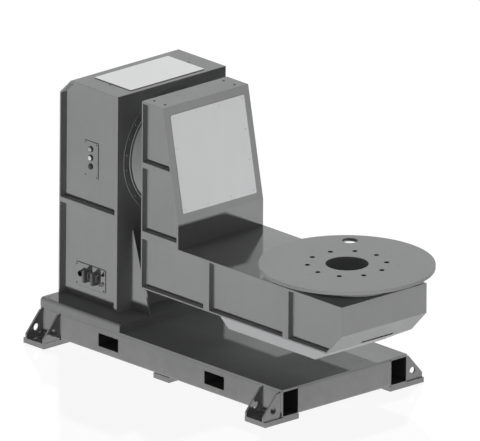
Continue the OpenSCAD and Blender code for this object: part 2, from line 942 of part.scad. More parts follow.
module tilt_gear() {
    color(steel) on_tilt_axis(tilt_gear_x) difference() {
        spur_gear(tilt_gear_teeth, tilt_module, tilt_gear_w);
        translate([0, 0, -over]) cylinder(d = tilt_gear_bore_d, h = tilt_gear_w + 2 * over);
    }
}

module tilt_gear_bolts() {
    bolt_r = (tilt_gear_bore_d / 2 + tilt_module * tilt_gear_teeth / 2) / 2;
    color(dark) on_tilt_axis(tilt_gear_x - bolt_h) bolt_circle(bolt_r, bolt_count)
        hex_head(bolt_d, bolt_h);
}

module at_tilt_pinion(x) {
    on_tilt_axis(x) translate([tilt_centres, 0, 0]) children();
}

module tilt_pinion() {
    shaft_len = gear_gap + drive_plate_t + tilt_box_len / 2;
    color(steel) {
        at_tilt_pinion(tilt_gear_x)
            rotate(180 + 180 / tilt_pinion_teeth)
                spur_gear(tilt_pinion_teeth, tilt_module, tilt_gear_w);
        at_tilt_pinion(tilt_gear_x - shaft_len) cylinder(d = tilt_shaft_d, h = shaft_len);
    }
}

module tilt_drive_plate() {
    color(paint_dark) difference() {
        translate([tilt_plate_x, axis_y - column_inside / 2, axis_z - tilt_centres - tilt_plate_h / 2])
            cube([drive_plate_t, column_inside, tilt_plate_h]);
        at_tilt_pinion(tilt_plate_x - over)
            cylinder(r = pilot_d / 2 + seat_gap, h = drive_plate_t + 2 * over);
    }
}

module tilt_gearbox() {
    bore_len = drive_plate_t + tilt_box_len / 2;
    color(drive_grey) difference() {
        union() {
            at_tilt_pinion(tilt_plate_x - tilt_box_len) cylinder(d = tilt_box_d, h = tilt_box_len);
            at_tilt_pinion(tilt_plate_x) cylinder(d = pilot_d, h = drive_plate_t);
        }
        at_tilt_pinion(tilt_plate_x + drive_plate_t - bore_len - face_gap)
            cylinder(r = tilt_shaft_d / 2 + run_gap, h = bore_len + face_gap + over);
    }
}

module tilt_motor() {
    cap_len = tilt_motor_len / 4;
    color(drive_grey) at_tilt_pinion(tilt_plate_x - tilt_box_len - tilt_motor_len) {
        translate([0, 0, cap_len]) linear_extrude(tilt_motor_len - cap_len)
            rounded_rect(tilt_motor_side, tilt_motor_side, motor_round);
        cylinder(d = tilt_motor_side - motor_round, h = cap_len);
    }
}

// Arm

// Side view of the arm, counter-clockwise from the foot of its back
tip_x = arm_x + arm_len;
face_x = arm_x + head_foot_d;
step_z = beam_top_z + head_step_h;
head_top_z = arm_z + arm_h;
housing_top_z = beam_top_z - arm_top_t;
arm_outline = [[arm_x, arm_z], [tip_x - tip_slope_len, arm_z], [tip_x, arm_z + tip_slope_h],
    [tip_x, housing_top_z], [face_x, housing_top_z], [face_x, step_z],
    [arm_x + head_top_d, head_top_z], [arm_x, head_top_z]];
// The beam is open at its top, where the top plate closes it
arm_inner = inset_outline(arm_outline, [arm_bottom_t, arm_bottom_t, arm_top_t, -over,
    arm_face_t, arm_face_t, arm_top_t, arm_rear_t]);

// Slope of the head's face
slope_run = head_foot_d - head_top_d;
slope_rise = head_top_z - step_z;
slope_angle = atan2(slope_run, slope_rise);
slope_len = norm([slope_run, slope_rise]);

// Local Z up the slope of the head's face and local X straight out of it
module on_slope() {
    translate([face_x, axis_y, step_z]) rotate([0, -slope_angle, 0]) children();
}

module arm_side_recess(y) {
    across(y, arm_recess + over) difference() {
        polygon(arm_inner);
        translate([arm_x, arm_z + head_rib_rise]) square([head_foot_d, head_rib_t]);
        translate([arm_x, arm_z + knee_rib_rise]) square([head_foot_d, knee_rib_t]);
        for (x = [first_rib_in, second_rib_in])
            translate([arm_x + x, arm_z]) square([beam_rib_t, beam_h]);
    }
}

front_cover_h = slope_len - front_cover_low - front_cover_top;
pan_x = arm_x + pan_in;
pan_end_x = tip_x - tip_slope_len;

// Head and beam together, open where the beam's top plate lies
module arm_shell() {
    hole_w = front_cover_w - 2 * front_cover_lap;
    difference() {
        across(axis_y - arm_w / 2, arm_w) polygon(arm_outline);
        arm_side_recess(axis_y - arm_w / 2 - over);
        arm_side_recess(axis_y + arm_w / 2 - arm_recess);
        across(axis_y - arm_inside / 2, arm_inside) polygon(arm_inner);
        on_tilt_axis(arm_x - over) cylinder(d = drum_bore_d, h = arm_rear_t + 2 * over);
        on_slope() translate([-2 * arm_face_t, -hole_w / 2, front_cover_low + front_cover_lap])
            cube([3 * arm_face_t, hole_w, front_cover_h - 2 * front_cover_lap]);
        translate([pan_x + pan_lap / 2, axis_y - arm_inside / 2 + pan_lap, arm_z - over])
            cube([pan_end_x - pan_x - pan_lap, arm_inside - 2 * pan_lap, arm_bottom_t + 2 * over]);
        translate([pan_end_x - pan_lap / 2, axis_y - slot_near, arm_z + arm_bottom_t])
            cube([tip_slope_len, slot_w, slot_h]);
    }
}

module arm_housing() {
    color(paint) intersection() {
        arm_shell();
        translate([arm_x - over, axis_y - arm_w, arm_z - over])
            cube([head_foot_d + over, 2 * arm_w, arm_h + 2 * over]);
    }
}

module arm_beam() {
    color(paint) intersection() {
        arm_shell();
        translate([face_x, axis_y - arm_w, arm_z - over])
            cube([arm_len, 2 * arm_w, beam_h + over]);
    }
}

module arm_top_plate() {
    color(paint) difference() {
        translate([face_x, axis_y - arm_w / 2, housing_top_z])
            cube([tip_x - face_x, arm_w, arm_top_t]);
        on_table_axis(housing_top_z - over)
            cylinder(r = hub_d / 2 + hub_clear, h = arm_top_t + 2 * over);
    }
}

module arm_front_cover() {
    color(pale) on_slope() translate([0, 0, front_cover_low + front_cover_h / 2])
        along(0, front_cover_t) rounded_rect(front_cover_w, front_cover_h, front_cover_round);
}

module arm_head_screws() {
    for (x = [head_screw_rear, head_screw_rear + head_screw_gap],
            y = [head_screw_side - arm_w / 2, arm_w / 2 - head_screw_side])
        color(dark) translate([arm_x + x, axis_y + y, head_top_z])
            cylinder(d = head_screw_d, h = head_screw_h);
}

// Solid that leans in on both sides and at its front, from z down by h
module pan_solid(inset, top_over) {
    lean_share = pan_lean / pan_h;
    front_share = pan_front_lean / pan_h;
    top = pan_h + top_over;
    half = arm_w / 2 - inset * norm([1, lean_share]);
    end = pan_end_x - pan_x - inset * norm([1, front_share]);
    intersection() {
        translate([pan_x, 0, arm_z]) across(axis_y - arm_w, 2 * arm_w)
            polygon([[inset, inset - pan_h], [end - front_share * (pan_h - inset), inset - pan_h],
                [end + front_share * top_over, top_over], [inset, top_over]]);
        translate([0, axis_y, arm_z]) along(pan_x, arm_len)
            polygon([[lean_share * (pan_h - inset) - half, inset - pan_h],
                [half - lean_share * (pan_h - inset), inset - pan_h],
                [half + lean_share * top_over, top_over], [-half - lean_share * top_over, top_over]]);
    }
}

module arm_bottom_cover() {
    color(pale) difference() {
        pan_solid(0, 0);
        pan_solid(pan_wall, over);
    }
}

// Face plate, its bearing and its drive

module table_fixed_ring() {
    color(paint_dark) on_table_axis(beam_top_z)
        ring(table_race_d / 2, hub_d / 2 + run_gap, table_rise - table_t - flange_t - face_gap);
}

module table_ring_bolts() {
    bolt_r = hub_d / 2 + hub_clear + bolt_d;
    color(dark) on_table_axis(housing_top_z - bolt_h) bolt_circle(bolt_r, bolt_count)
        hex_head(bolt_d, bolt_h);
}

module table_hub() {
    top = table_rise - table_t;
    color(paint_dark) difference() {
        union() {
            on_table_axis(beam_top_z - hub_drop) cylinder(d = hub_d, h = hub_drop + top);
            on_table_axis(table_z - flange_t) cylinder(d = flange_d, h = flange_t);
        }
        on_table_axis(beam_top_z - hub_drop - over)
            cylinder(d = table_bore_d, h = hub_drop + top + 2 * over);
    }
}

module table_gear() {
    color(steel) on_table_axis(table_gear_z) difference() {
        rotate(180) spur_gear(table_gear_teeth, table_module, table_gear_w);
        translate([0, 0, -over]) cylinder(d = table_gear_bore_d, h = table_gear_w + 2 * over);
    }
}

module table_gear_bolts() {
    bolt_r = (table_gear_bore_d + hub_d) / 4;
    color(dark) on_table_axis(table_gear_z - bolt_h) bolt_circle(bolt_r, bolt_count)
        hex_head(bolt_d, bolt_h);
}

module at_table_pinion(z) {
    translate([table_pinion_x, axis_y, z]) children();
}

module table_pinion() {
    shaft_len = gear_gap + drive_plate_t + table_box_len / 2;
    color(steel) {
        at_table_pinion(table_gear_z) rotate(180 / table_pinion_teeth)
            spur_gear(table_pinion_teeth, table_module, table_gear_w);
        at_table_pinion(table_gear_z - shaft_len) cylinder(d = table_shaft_d, h = shaft_len);
    }
}

module table_drive_plate() {
    color(paint_dark) difference() {
        translate([table_pinion_x - table_plate_len / 2, axis_y - arm_inside / 2, table_plate_z])
            cube([table_plate_len, arm_inside, drive_plate_t]);
        at_table_pinion(table_plate_z - over)
            cylinder(r = pilot_d / 2 + seat_gap, h = drive_plate_t + 2 * over);
    }
}

module table_gearbox() {
    bore_len = drive_plate_t + table_box_len / 2 + face_gap;
    color(drive_grey) difference() {
        union() {
            at_table_pinion(table_plate_z) cylinder(d = pilot_d, h = drive_plate_t);
            at_table_pinion(table_plate_z - table_box_len)
                cylinder(d = table_box_d, h = table_box_len);
            at_table_pinion(angle_z) translate([-angle_side / 2, -angle_side / 2, 0])
                cube([angle_side, angle_side, angle_side]);
        }
        at_table_pinion(table_plate_z + drive_plate_t - bore_len)
            cylinder(r = table_shaft_d / 2 + run_gap, h = bore_len + over);
    }
}

module table_motor() {
    cap_len = table_motor_len / 5;
    end_x = table_pinion_x - angle_side / 2;
    color(drive_grey) translate([0, axis_y, angle_z + angle_side / 2]) {
        along(end_x - table_motor_len + cap_len, table_motor_len - cap_len)
            rounded_rect(table_motor_side, table_motor_side, motor_round);
        along(end_x - table_motor_len, cap_len) circle(d = table_motor_side - motor_round);
    }
}

module face_plate() {
    color(steel) on_table_axis(table_z) difference() {
        cylinder(d = table_d, h = table_t, $fn = 180);
        translate([0, 0, -over]) cylinder(d = table_bore_d, h = table_t + 2 * over);
        rotate(180 / clamp_count) bolt_circle(clamp_circle_d / 2, clamp_count)
            translate([0, 0, -over]) cylinder(d = clamp_d, h = table_t + 2 * over);
        bolt_circle(screw_circle_d / 2, screw_count)
            translate([0, 0, -over]) cylinder(d = screw_d, h = table_t + 2 * over);
        rotate(135) translate([side_hole_out, 0, -over])
            cylinder(d = side_hole_d, h = table_t + 2 * over);
    }
}

module face_plate_screws() {
    color(dark) on_table_axis(table_z) bolt_circle(screw_circle_d / 2, screw_count)
        cylinder(r = screw_d / 2 - seat_gap, h = table_t - seat_gap);
}

side_tube_near();
side_tube_far();
front_cross_member();
rear_cross_member();
front_fork_sleeve();
rear_fork_sleeve();
deck_plate();
foot_front_near();
foot_front_far();
foot_rear_near();
foot_rear_far();
mid_pads();
plinth_plate();
plinth_screws();
column_housing();
column_gussets();
column_lid();
switch_plate();
button_upper();
button_middle();
button_lower();
switch_bodies();
socket_plate();
power_connector();
signal_connector();
round_inlet();
air_coupling();
earth_stud();
tilt_fixed_ring();
tilt_drum();
tilt_gear();
tilt_gear_bolts();
tilt_pinion();
tilt_drive_plate();
tilt_gearbox();
tilt_motor();
arm_housing();
arm_front_cover();
arm_head_screws();
arm_beam();
arm_top_plate();
arm_bottom_cover();
table_fixed_ring();
table_ring_bolts();
table_hub();
table_gear();
table_gear_bolts();
table_pinion();
table_drive_plate();
table_gearbox();
table_motor();
face_plate();
face_plate_screws();
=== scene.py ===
import math

import bmesh
import bpy
from mathutils import Matrix, Vector


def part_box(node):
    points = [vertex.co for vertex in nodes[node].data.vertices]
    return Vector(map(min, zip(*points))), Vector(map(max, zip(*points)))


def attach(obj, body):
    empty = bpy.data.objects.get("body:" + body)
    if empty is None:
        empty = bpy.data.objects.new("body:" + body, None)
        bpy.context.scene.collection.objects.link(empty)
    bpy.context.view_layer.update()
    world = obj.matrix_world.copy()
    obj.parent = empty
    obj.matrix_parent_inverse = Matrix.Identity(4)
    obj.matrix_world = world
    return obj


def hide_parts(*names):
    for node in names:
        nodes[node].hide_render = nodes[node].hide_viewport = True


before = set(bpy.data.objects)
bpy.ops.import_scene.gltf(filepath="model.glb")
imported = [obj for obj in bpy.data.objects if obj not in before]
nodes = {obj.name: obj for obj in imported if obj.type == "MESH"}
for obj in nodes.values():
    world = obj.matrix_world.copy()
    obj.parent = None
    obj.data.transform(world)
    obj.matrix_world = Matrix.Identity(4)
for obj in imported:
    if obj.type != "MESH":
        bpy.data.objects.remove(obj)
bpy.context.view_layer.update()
print("frame loaded:", len(nodes), "nodes")

# The picture has no convergence, so the camera is orthographic.
cameraView = {
    "right": (0.6782, 0.7348, 0.0066),
    "up": (-0.2411, 0.2139, 0.9467),
    "width": 480 * 0.00564,       # metres across the picture
    "shiftRight": 0.0922,         # the base's middle lies left of the picture's middle
    "shiftUp": 0.7989,
    "distance": 9.0,
    "farthest": 60.0,
}


def addCamera(view):
    right = Vector(view["right"]).normalized()
    up = Vector(view["up"])
    up = (up - right * up.dot(right)).normalized()
    back = right.cross(up)
    data = bpy.data.cameras.new("camera")
    data.type = "ORTHO"
    data.ortho_scale = view["width"]
    data.clip_end = view["farthest"]
    camera = bpy.data.objects.new("camera", data)
    place = right * view["shiftRight"] + up * view["shiftUp"] + back * view["distance"]
    camera.matrix_world = Matrix.Translation(place) @ Matrix((right, up, back)).transposed().to_4x4()
    bpy.context.scene.collection.objects.link(camera)
    bpy.context.scene.camera = camera


addCamera(cameraView)
bpy.context.scene.view_settings.view_transform = "Standard"
print("camera placed")

# Two lamps stand behind the object, one lights its near side and one its front.
# The table has a front lamp of its own, and the floor lamp lifts the undersides.
lampSettings = {
    "highLamp": {"towards": (-0.504, 0.465, 0.728), "strength": 1.45, "angle": 2.0, "shadow": True},
    "lowLamp": {"towards": (-0.705, 0.651, 0.281), "strength": 4.2, "angle": 1.5, "shadow": True},
    "nearSideLamp": {"towards": (0.0, -0.97, -0.24), "strength": 2.15, "angle": 6.0, "shadow": True},
    "frontLamp": {"towards": (0.9725, 0.210, -0.1014), "strength": 2.0, "angle": 0.9, "shadow": True},
    "tableFrontLamp": {"towards": (0.9725, 0.210, -0.1014), "strength": 2.0, "angle": 2.0, "shadow": True},
    "floorLamp": {"towards": (0.0, 0.0, -1.0), "strength": 1.2, "angle": 20.0, "shadow": False},
}
lampDistance = 6.0
roomLight = {"sky": 0.085, "seen": 1.0}


def addLamps(lamps):
    for name, lamp in lamps.items():
        data = bpy.data.lights.new(name, "SUN")
        data.energy = lamp["strength"]
        data.angle = math.radians(lamp["angle"])
        data.use_shadow = lamp["shadow"]
        light = bpy.data.objects.new(name, data)
        light.rotation_euler = Vector(lamp["towards"]).to_track_quat("Z", "Y").to_euler()
        light.location = Vector(lamp["towards"]) * lampDistance
        light.visible_glossy = False          # soft boxes leave no glare on the flat tops
        bpy.context.scene.collection.objects.link(light)


def seenDirectly(tree):
    path = tree.nodes.new("ShaderNodeLightPath")
    value = path.outputs["Is Camera Ray"]
    for other in ("Is Glossy Ray", "Is Transmission Ray"):
        either = tree.nodes.new("ShaderNodeMath")
        either.operation = "MAXIMUM"
        tree.links.new(value, either.inputs[0])
        tree.links.new(path.outputs[other], either.inputs[1])
        value = either.outputs[0]
    return value


def addRoom(room):
    world = bpy.data.worlds.new("room")
    bpy.context.scene.world = world
    world.use_nodes = True
    tree = world.node_tree
    tree.nodes.clear()
    out = tree.nodes.new("ShaderNodeOutputWorld")
    mix = tree.nodes.new("ShaderNodeMixShader")
    for slot, strength in ((1, room["sky"]), (2, room["seen"])):
        background = tree.nodes.new("ShaderNodeBackground")
        background.inputs["Color"].default_value = (1, 1, 1, 1)
        background.inputs["Strength"].default_value = strength
        tree.links.new(background.outputs[0], mix.inputs[slot])
    tree.links.new(seenDirectly(tree), mix.inputs[0])
    tree.links.new(mix.outputs[0], out.inputs[0])


addLamps(lampSettings)
addRoom(roomLight)

floorSettings = {"half": 12.0, "colour": (0.13, 0.13, 0.13), "glow": 0.90, "rough": 0.9, "gloss": 0.1}


def addFloor(floor):
    mesh = bpy.data.meshes.new("floor")
    h = floor["half"]
    mesh.from_pydata([(-h, -h, 0), (h, -h, 0), (h, h, 0), (-h, h, 0)], [], [(0, 1, 2, 3)])
    obj = bpy.data.objects.new("floor", mesh)
    obj.visible_shadow = False        # the lamps that shine upwards pass it
    bpy.context.scene.collection.objects.link(obj)
    paint = bpy.data.materials.new("pale floor")
    paint.use_nodes = True
    tree = paint.node_tree
    shader = tree.nodes["Principled BSDF"]
    shader.inputs["Base Color"].default_value = (*floor["colour"], 1)
    shader.inputs["Roughness"].default_value = floor["rough"]
    shader.inputs["Specular IOR Level"].default_value = floor["gloss"]
    scale = tree.nodes.new("ShaderNodeMath")       # the lit floor is seen as white
    scale.operation = "MULTIPLY"
    scale.inputs[1].default_value = floor["glow"]
    tree.links.new(seenDirectly(tree), scale.inputs[0])
    shader.inputs["Emission Color"].default_value = (1, 1, 1, 1)
    tree.links.new(scale.outputs[0], shader.inputs["Emission Strength"])
    mesh.materials.append(paint)


addFloor(floorSettings)
print("lamps and floor placed")


# Small helpers for material nodes

def newFinish(name):
    material = bpy.data.materials.new(name)
    material.use_nodes = True
    tree = material.node_tree
    return material, tree, tree.nodes["Principled BSDF"]


def objectPlace(tree):
    return tree.nodes.new("ShaderNodeTexCoord").outputs["Object"]


def splitPlace(tree, place):
    node = tree.nodes.new("ShaderNodeSeparateXYZ")
    tree.links.new(place, node.inputs[0])
    return node.outputs


def noise(tree, place, scale, detail=2.0, rough=0.5):
    node = tree.nodes.new("ShaderNodeTexNoise")
    node.inputs["Scale"].default_value = scale
    node.inputs["Detail"].default_value = detail
    node.inputs["Roughness"].default_value = rough
    tree.links.new(place, node.inputs["Vector"])
    return node.outputs["Fac"]


def stretched(tree, place, scale):
    node = tree.nodes.new("ShaderNodeMapping")
    node.inputs["Scale"].default_value = scale
    tree.links.new(place, node.inputs["Vector"])
    return node.outputs[0]


def ramp(tree, value, low, high, fromLow=0.35, fromHigh=0.65):
    node = tree.nodes.new("ShaderNodeMapRange")
    node.inputs["From Min"].default_value = fromLow
    node.inputs["From Max"].default_value = fromHigh
    node.inputs["To Min"].default_value = low
    node.inputs["To Max"].default_value = high
    tree.links.new(value, node.inputs["Value"])
    return node.outputs["Result"]


def plainMath(tree, operation, first, second):
    node = tree.nodes.new("ShaderNodeMath")
    node.operation = operation
    for socket, value in zip(node.inputs, (first, second)):
        if hasattr(value, "links"):
            tree.links.new(value, socket)
        elif value is not None:
            socket.default_value = value
    return node.outputs[0]


def blendColour(tree, share, a, b):
    node = tree.nodes.new("ShaderNodeMix")
    node.data_type = "RGBA"
    tree.links.new(share, node.inputs["Factor"])
    for socket, value in (("A", a), ("B", b)):
        target = [s for s in node.inputs if s.name == socket and s.type == "RGBA"][0]
        if hasattr(value, "links"):
            tree.links.new(value, target)
        else:
            target.default_value = (*value, 1)
    return [s for s in node.outputs if s.type == "RGBA"][0]


def bump(tree, height, strength, distance, normal=None):
    node = tree.nodes.new("ShaderNodeBump")
    node.inputs["Strength"].default_value = strength
    node.inputs["Distance"].default_value = distance
    tree.links.new(height, node.inputs["Height"])
    if normal is not None:
        tree.links.new(normal, node.inputs["Normal"])
    return node.outputs["Normal"]


# Softened edges: the normal that a small radius would give, and how near the edge is
edgeReach = {"samples": 4, "sharp": 0.80, "flat": 0.985}      # cosines of soft normal to plain normal


def roundedEdge(tree, radius):
    bevel = tree.nodes.new("ShaderNodeBevel")
    bevel.samples = edgeReach["samples"]
    bevel.inputs["Radius"].default_value = radius
    plain = tree.nodes.new("ShaderNodeNewGeometry")
    dot = tree.nodes.new("ShaderNodeVectorMath")
    dot.operation = "DOT_PRODUCT"
    tree.links.new(bevel.outputs[0], dot.inputs[0])
    tree.links.new(plain.outputs["Normal"], dot.inputs[1])
    return bevel.outputs[0], ramp(tree, dot.outputs["Value"], 1.0, 0.0, edgeReach["sharp"], edgeReach["flat"])


# Whether a point lies inside a tube or pocket, where the painted shade goes. A range is an axis, how far its
# middle lies from the centre plane, and half its width.
def insideShare(tree, place, ranges):
    parts = splitPlace(tree, place)
    share = None
    for axis, middle, half in ranges:
        away = plainMath(tree, "ABSOLUTE", parts[axis], None)
        away = plainMath(tree, "ABSOLUTE", plainMath(tree, "SUBTRACT", away, middle), None)
        within = plainMath(tree, "LESS_THAN", away, half)
        share = within if share is None else plainMath(tree, "MULTIPLY", share, within)
    return share


# Sprayed paint: cloudy tone, dust low down, fine orange peel, paler rubbed edges, and where given a painted
# shade inside tubes and pockets.
# A noise is given as its scale, detail and roughness.
spray = {"cloud": (2.3, 4.0, 0.6), "streak": (1.6, 3.0, 0.6), "streakStretch": (9.0, 9.0, 1.2),
         "streakLeast": 0.5, "speck": (95.0, 3.0, 0.7), "speckShare": 0.5, "speckFrom": 0.62, "speckTo": 0.78,
         "dust": (14.0, 5.0, 0.65), "dustLeast": 0.1, "dustHigh": 0.55, "rub": (31.0, 4.0, 0.7),
         "rubLeast": 0.15, "uneven": (7.0, 3.0), "smoother": 0.06, "rougher": 0.07, "wave": (5.0, 2.0),
         "waveStrength": 0.10, "waveDepth": 0.004, "peelDetail": 2.0, "peelDepth": 0.0003, "wideFrom": 0.3,
         "wideTo": 0.7}


def sprayedPaint(name, paint, inside=None):
    material, tree, shader = newFinish(name)
    place = objectPlace(tree)
    tone = tuple(paint["colour"])
    soiled = tuple(c * paint["soil"] for c in tone)
    worn = tuple(min(1.0, c * paint["wear"]) for c in tone)
    cloudy = ramp(tree, noise(tree, place, *spray["cloud"]), 0.0, 1.0, spray["wideFrom"], spray["wideTo"])
    streaks = noise(tree, stretched(tree, place, spray["streakStretch"]), *spray["streak"])
    cloudy = plainMath(tree, "MULTIPLY", cloudy, ramp(tree, streaks, spray["streakLeast"], 1.0))
    colour = blendColour(tree, cloudy, tone, soiled)
    specks = ramp(tree, noise(tree, place, *spray["speck"]), 0.0, spray["speckShare"],
                  spray["speckFrom"], spray["speckTo"])
    colour = blendColour(tree, specks, colour, soiled)
    height = splitPlace(tree, place)[2]
    dust = plainMath(tree, "MULTIPLY", ramp(tree, height, spray["dustHigh"], 0.0, 0.0, paint["dustTop"]),
                     ramp(tree, noise(tree, place, *spray["dust"]), spray["dustLeast"], 1.0))
    colour = blendColour(tree, dust, colour, paint["dust"])
    softNormal, edge = roundedEdge(tree, paint["edge"])
    rubbed = plainMath(tree, "MULTIPLY", edge,
                       ramp(tree, noise(tree, place, *spray["rub"]), spray["rubLeast"], 1.0))
    colour = blendColour(tree, rubbed, colour, worn)
    # Painted shade: a dark colour inside tubes, members and pockets stands in for the shade in these hollows
    if inside is not None:
        colour = blendColour(tree, insideShare(tree, place, inside["ranges"]), colour, inside["colour"])
    tree.links.new(colour, shader.inputs["Base Color"])
    uneven = noise(tree, place, *spray["uneven"])
    tree.links.new(ramp(tree, uneven, paint["rough"] - spray["smoother"], paint["rough"] + spray["rougher"]),
                   shader.inputs["Roughness"])
    peel = noise(tree, place, paint["peelScale"], spray["peelDetail"])
    waves = bump(tree, noise(tree, place, *spray["wave"]), spray["waveStrength"], spray["waveDepth"],
                 softNormal)
    tree.links.new(bump(tree, peel, paint["peel"], spray["peelDepth"], waves), shader.inputs["Normal"])
    shader.inputs["Specular IOR Level"].default_value = paint["gloss"]
    return material


paints = {
    "housing": {"colour": (0.33, 0.332, 0.335), "soil": 0.90, "wear": 1.16, "dust": (0.36, 0.355, 0.345),
                "dustTop": 0.3, "edge": 0.003, "rough": 0.46, "peelScale": 430.0, "peel": 0.30,
                "gloss": 0.03},
    "frame": {"colour": (0.285, 0.287, 0.29), "soil": 0.88, "wear": 1.18, "dust": (0.37, 0.362, 0.35),
              "dustTop": 0.22, "edge": 0.003, "rough": 0.52, "peelScale": 400.0, "peel": 0.32,
              "gloss": 0.006},
    "cover": {"colour": (0.75, 0.753, 0.76), "soil": 0.95, "wear": 1.10, "dust": (0.66, 0.655, 0.64),
              "dustTop": 0.3, "edge": 0.0015, "rough": 0.42, "peelScale": 520.0, "peel": 0.22, "gloss": 0.03},
    # Painted light: the lid has the covers' pale paint made lighter, for the stronger light on the column's
    # top
    "lid": {"colour": (0.86, 0.863, 0.87), "soil": 0.96, "wear": 1.05, "dust": (0.8, 0.795, 0.78),
            "dustTop": 0.3, "edge": 0.0015, "rough": 0.42, "peelScale": 520.0, "peel": 0.22, "gloss": 0.03},
    "pan": {"colour": (0.45, 0.453, 0.458), "soil": 0.94, "wear": 1.12, "dust": (0.46, 0.455, 0.445),
            "dustTop": 0.3, "edge": 0.002, "rough": 0.45, "peelScale": 480.0, "peel": 0.25, "gloss": 0.03},
    "bearing": {"colour": (0.27, 0.272, 0.276), "soil": 0.88, "wear": 1.22, "dust": (0.29, 0.285, 0.275),
                "dustTop": 0.2, "edge": 0.002, "rough": 0.40, "peelScale": 500.0, "peel": 0.2, "gloss": 0.06},
    "drive": {"colour": (0.12, 0.122, 0.128), "soil": 0.75, "wear": 1.4, "dust": (0.17, 0.165, 0.155),
              "dustTop": 0.4, "edge": 0.003, "rough": 0.6, "peelScale": 260.0, "peel": 0.6, "gloss": 0.03},
}
# Painted shade in the hollows of the base: a dark colour in place of the shade there, not a primer
tubeInsideShade = {"colour": (0.09, 0.089, 0.087), "ranges": ((1, 0.415, 0.0576), (2, 0.110, 0.0726))}
memberInsideShade = {"colour": (0.09, 0.089, 0.087), "ranges": ((0, 0.955, 0.0426), (2, 0.110, 0.0726))}
pocketInsideShade = {"colour": (0.09, 0.089, 0.087), "ranges": ((0, 0.440, 0.0818), (2, 0.1115, 0.0388))}

housingPaint = sprayedPaint("grey housing paint", paints["housing"])
framePaint = sprayedPaint("grey frame paint", paints["frame"])
tubePaintWithShadeInside = sprayedPaint("grey paint with painted shade in a tube", paints["frame"], tubeInsideShade)
memberPaintWithShadeInside = sprayedPaint("grey paint with painted shade in a member", paints["frame"], memberInsideShade)
pocketPaintWithShadeInside = sprayedPaint("grey paint with painted shade in a pocket", paints["frame"], pocketInsideShade)
coverPaint = sprayedPaint("pale cover paint", paints["cover"])
# The lid's lighter paint is painted light on the top
litTopPaleCoverPaint = sprayedPaint("pale cover paint lightened as painted light on the lid", paints["lid"])
panPaint = sprayedPaint("light grey bottom cover paint", paints["pan"])
bearingPaint = sprayedPaint("bearing grey paint", paints["bearing"])
driveCasting = sprayedPaint("dark drive casting", paints["drive"])

# Machined, moulded and blackened surfaces: tone, grain and fine scratches
grainForm = {"cloudDetail": 4.0, "cloudRough": 0.6, "cloudFrom": 0.3, "cloudTo": 0.7, "detail": 3.0,
             "roughness": 0.6, "spread": 0.08, "depth": 0.0002}


def workedSurface(name, surface):
    material, tree, shader = newFinish(name)
    place = objectPlace(tree)
    tone = tuple(surface["colour"])
    other = tuple(c * surface["soil"] for c in tone)
    cloud = noise(tree, place, surface["cloud"], grainForm["cloudDetail"], grainForm["cloudRough"])
    cloudy = ramp(tree, cloud, 0.0, 1.0, grainForm["cloudFrom"], grainForm["cloudTo"])
    colour = blendColour(tree, cloudy, tone, other)
    softNormal, edge = roundedEdge(tree, surface["edge"])
    colour = blendColour(tree, edge, colour, tuple(min(1.0, c * surface["wear"]) for c in tone))
    tree.links.new(colour, shader.inputs["Base Color"])
    grain = noise(tree, stretched(tree, place, surface["stretch"]), surface["grain"],
                  grainForm["detail"], grainForm["roughness"])
    rough = ramp(tree, grain, surface["rough"] - grainForm["spread"], surface["rough"] + grainForm["spread"])
    tree.links.new(rough, shader.inputs["Roughness"])
    tree.links.new(bump(tree, grain, surface["depth"], grainForm["depth"], softNormal),
                   shader.inputs["Normal"])
    shader.inputs["Metallic"].default_value = surface["metal"]
    shader.inputs["Specular IOR Level"].default_value = surface["gloss"]
    return material


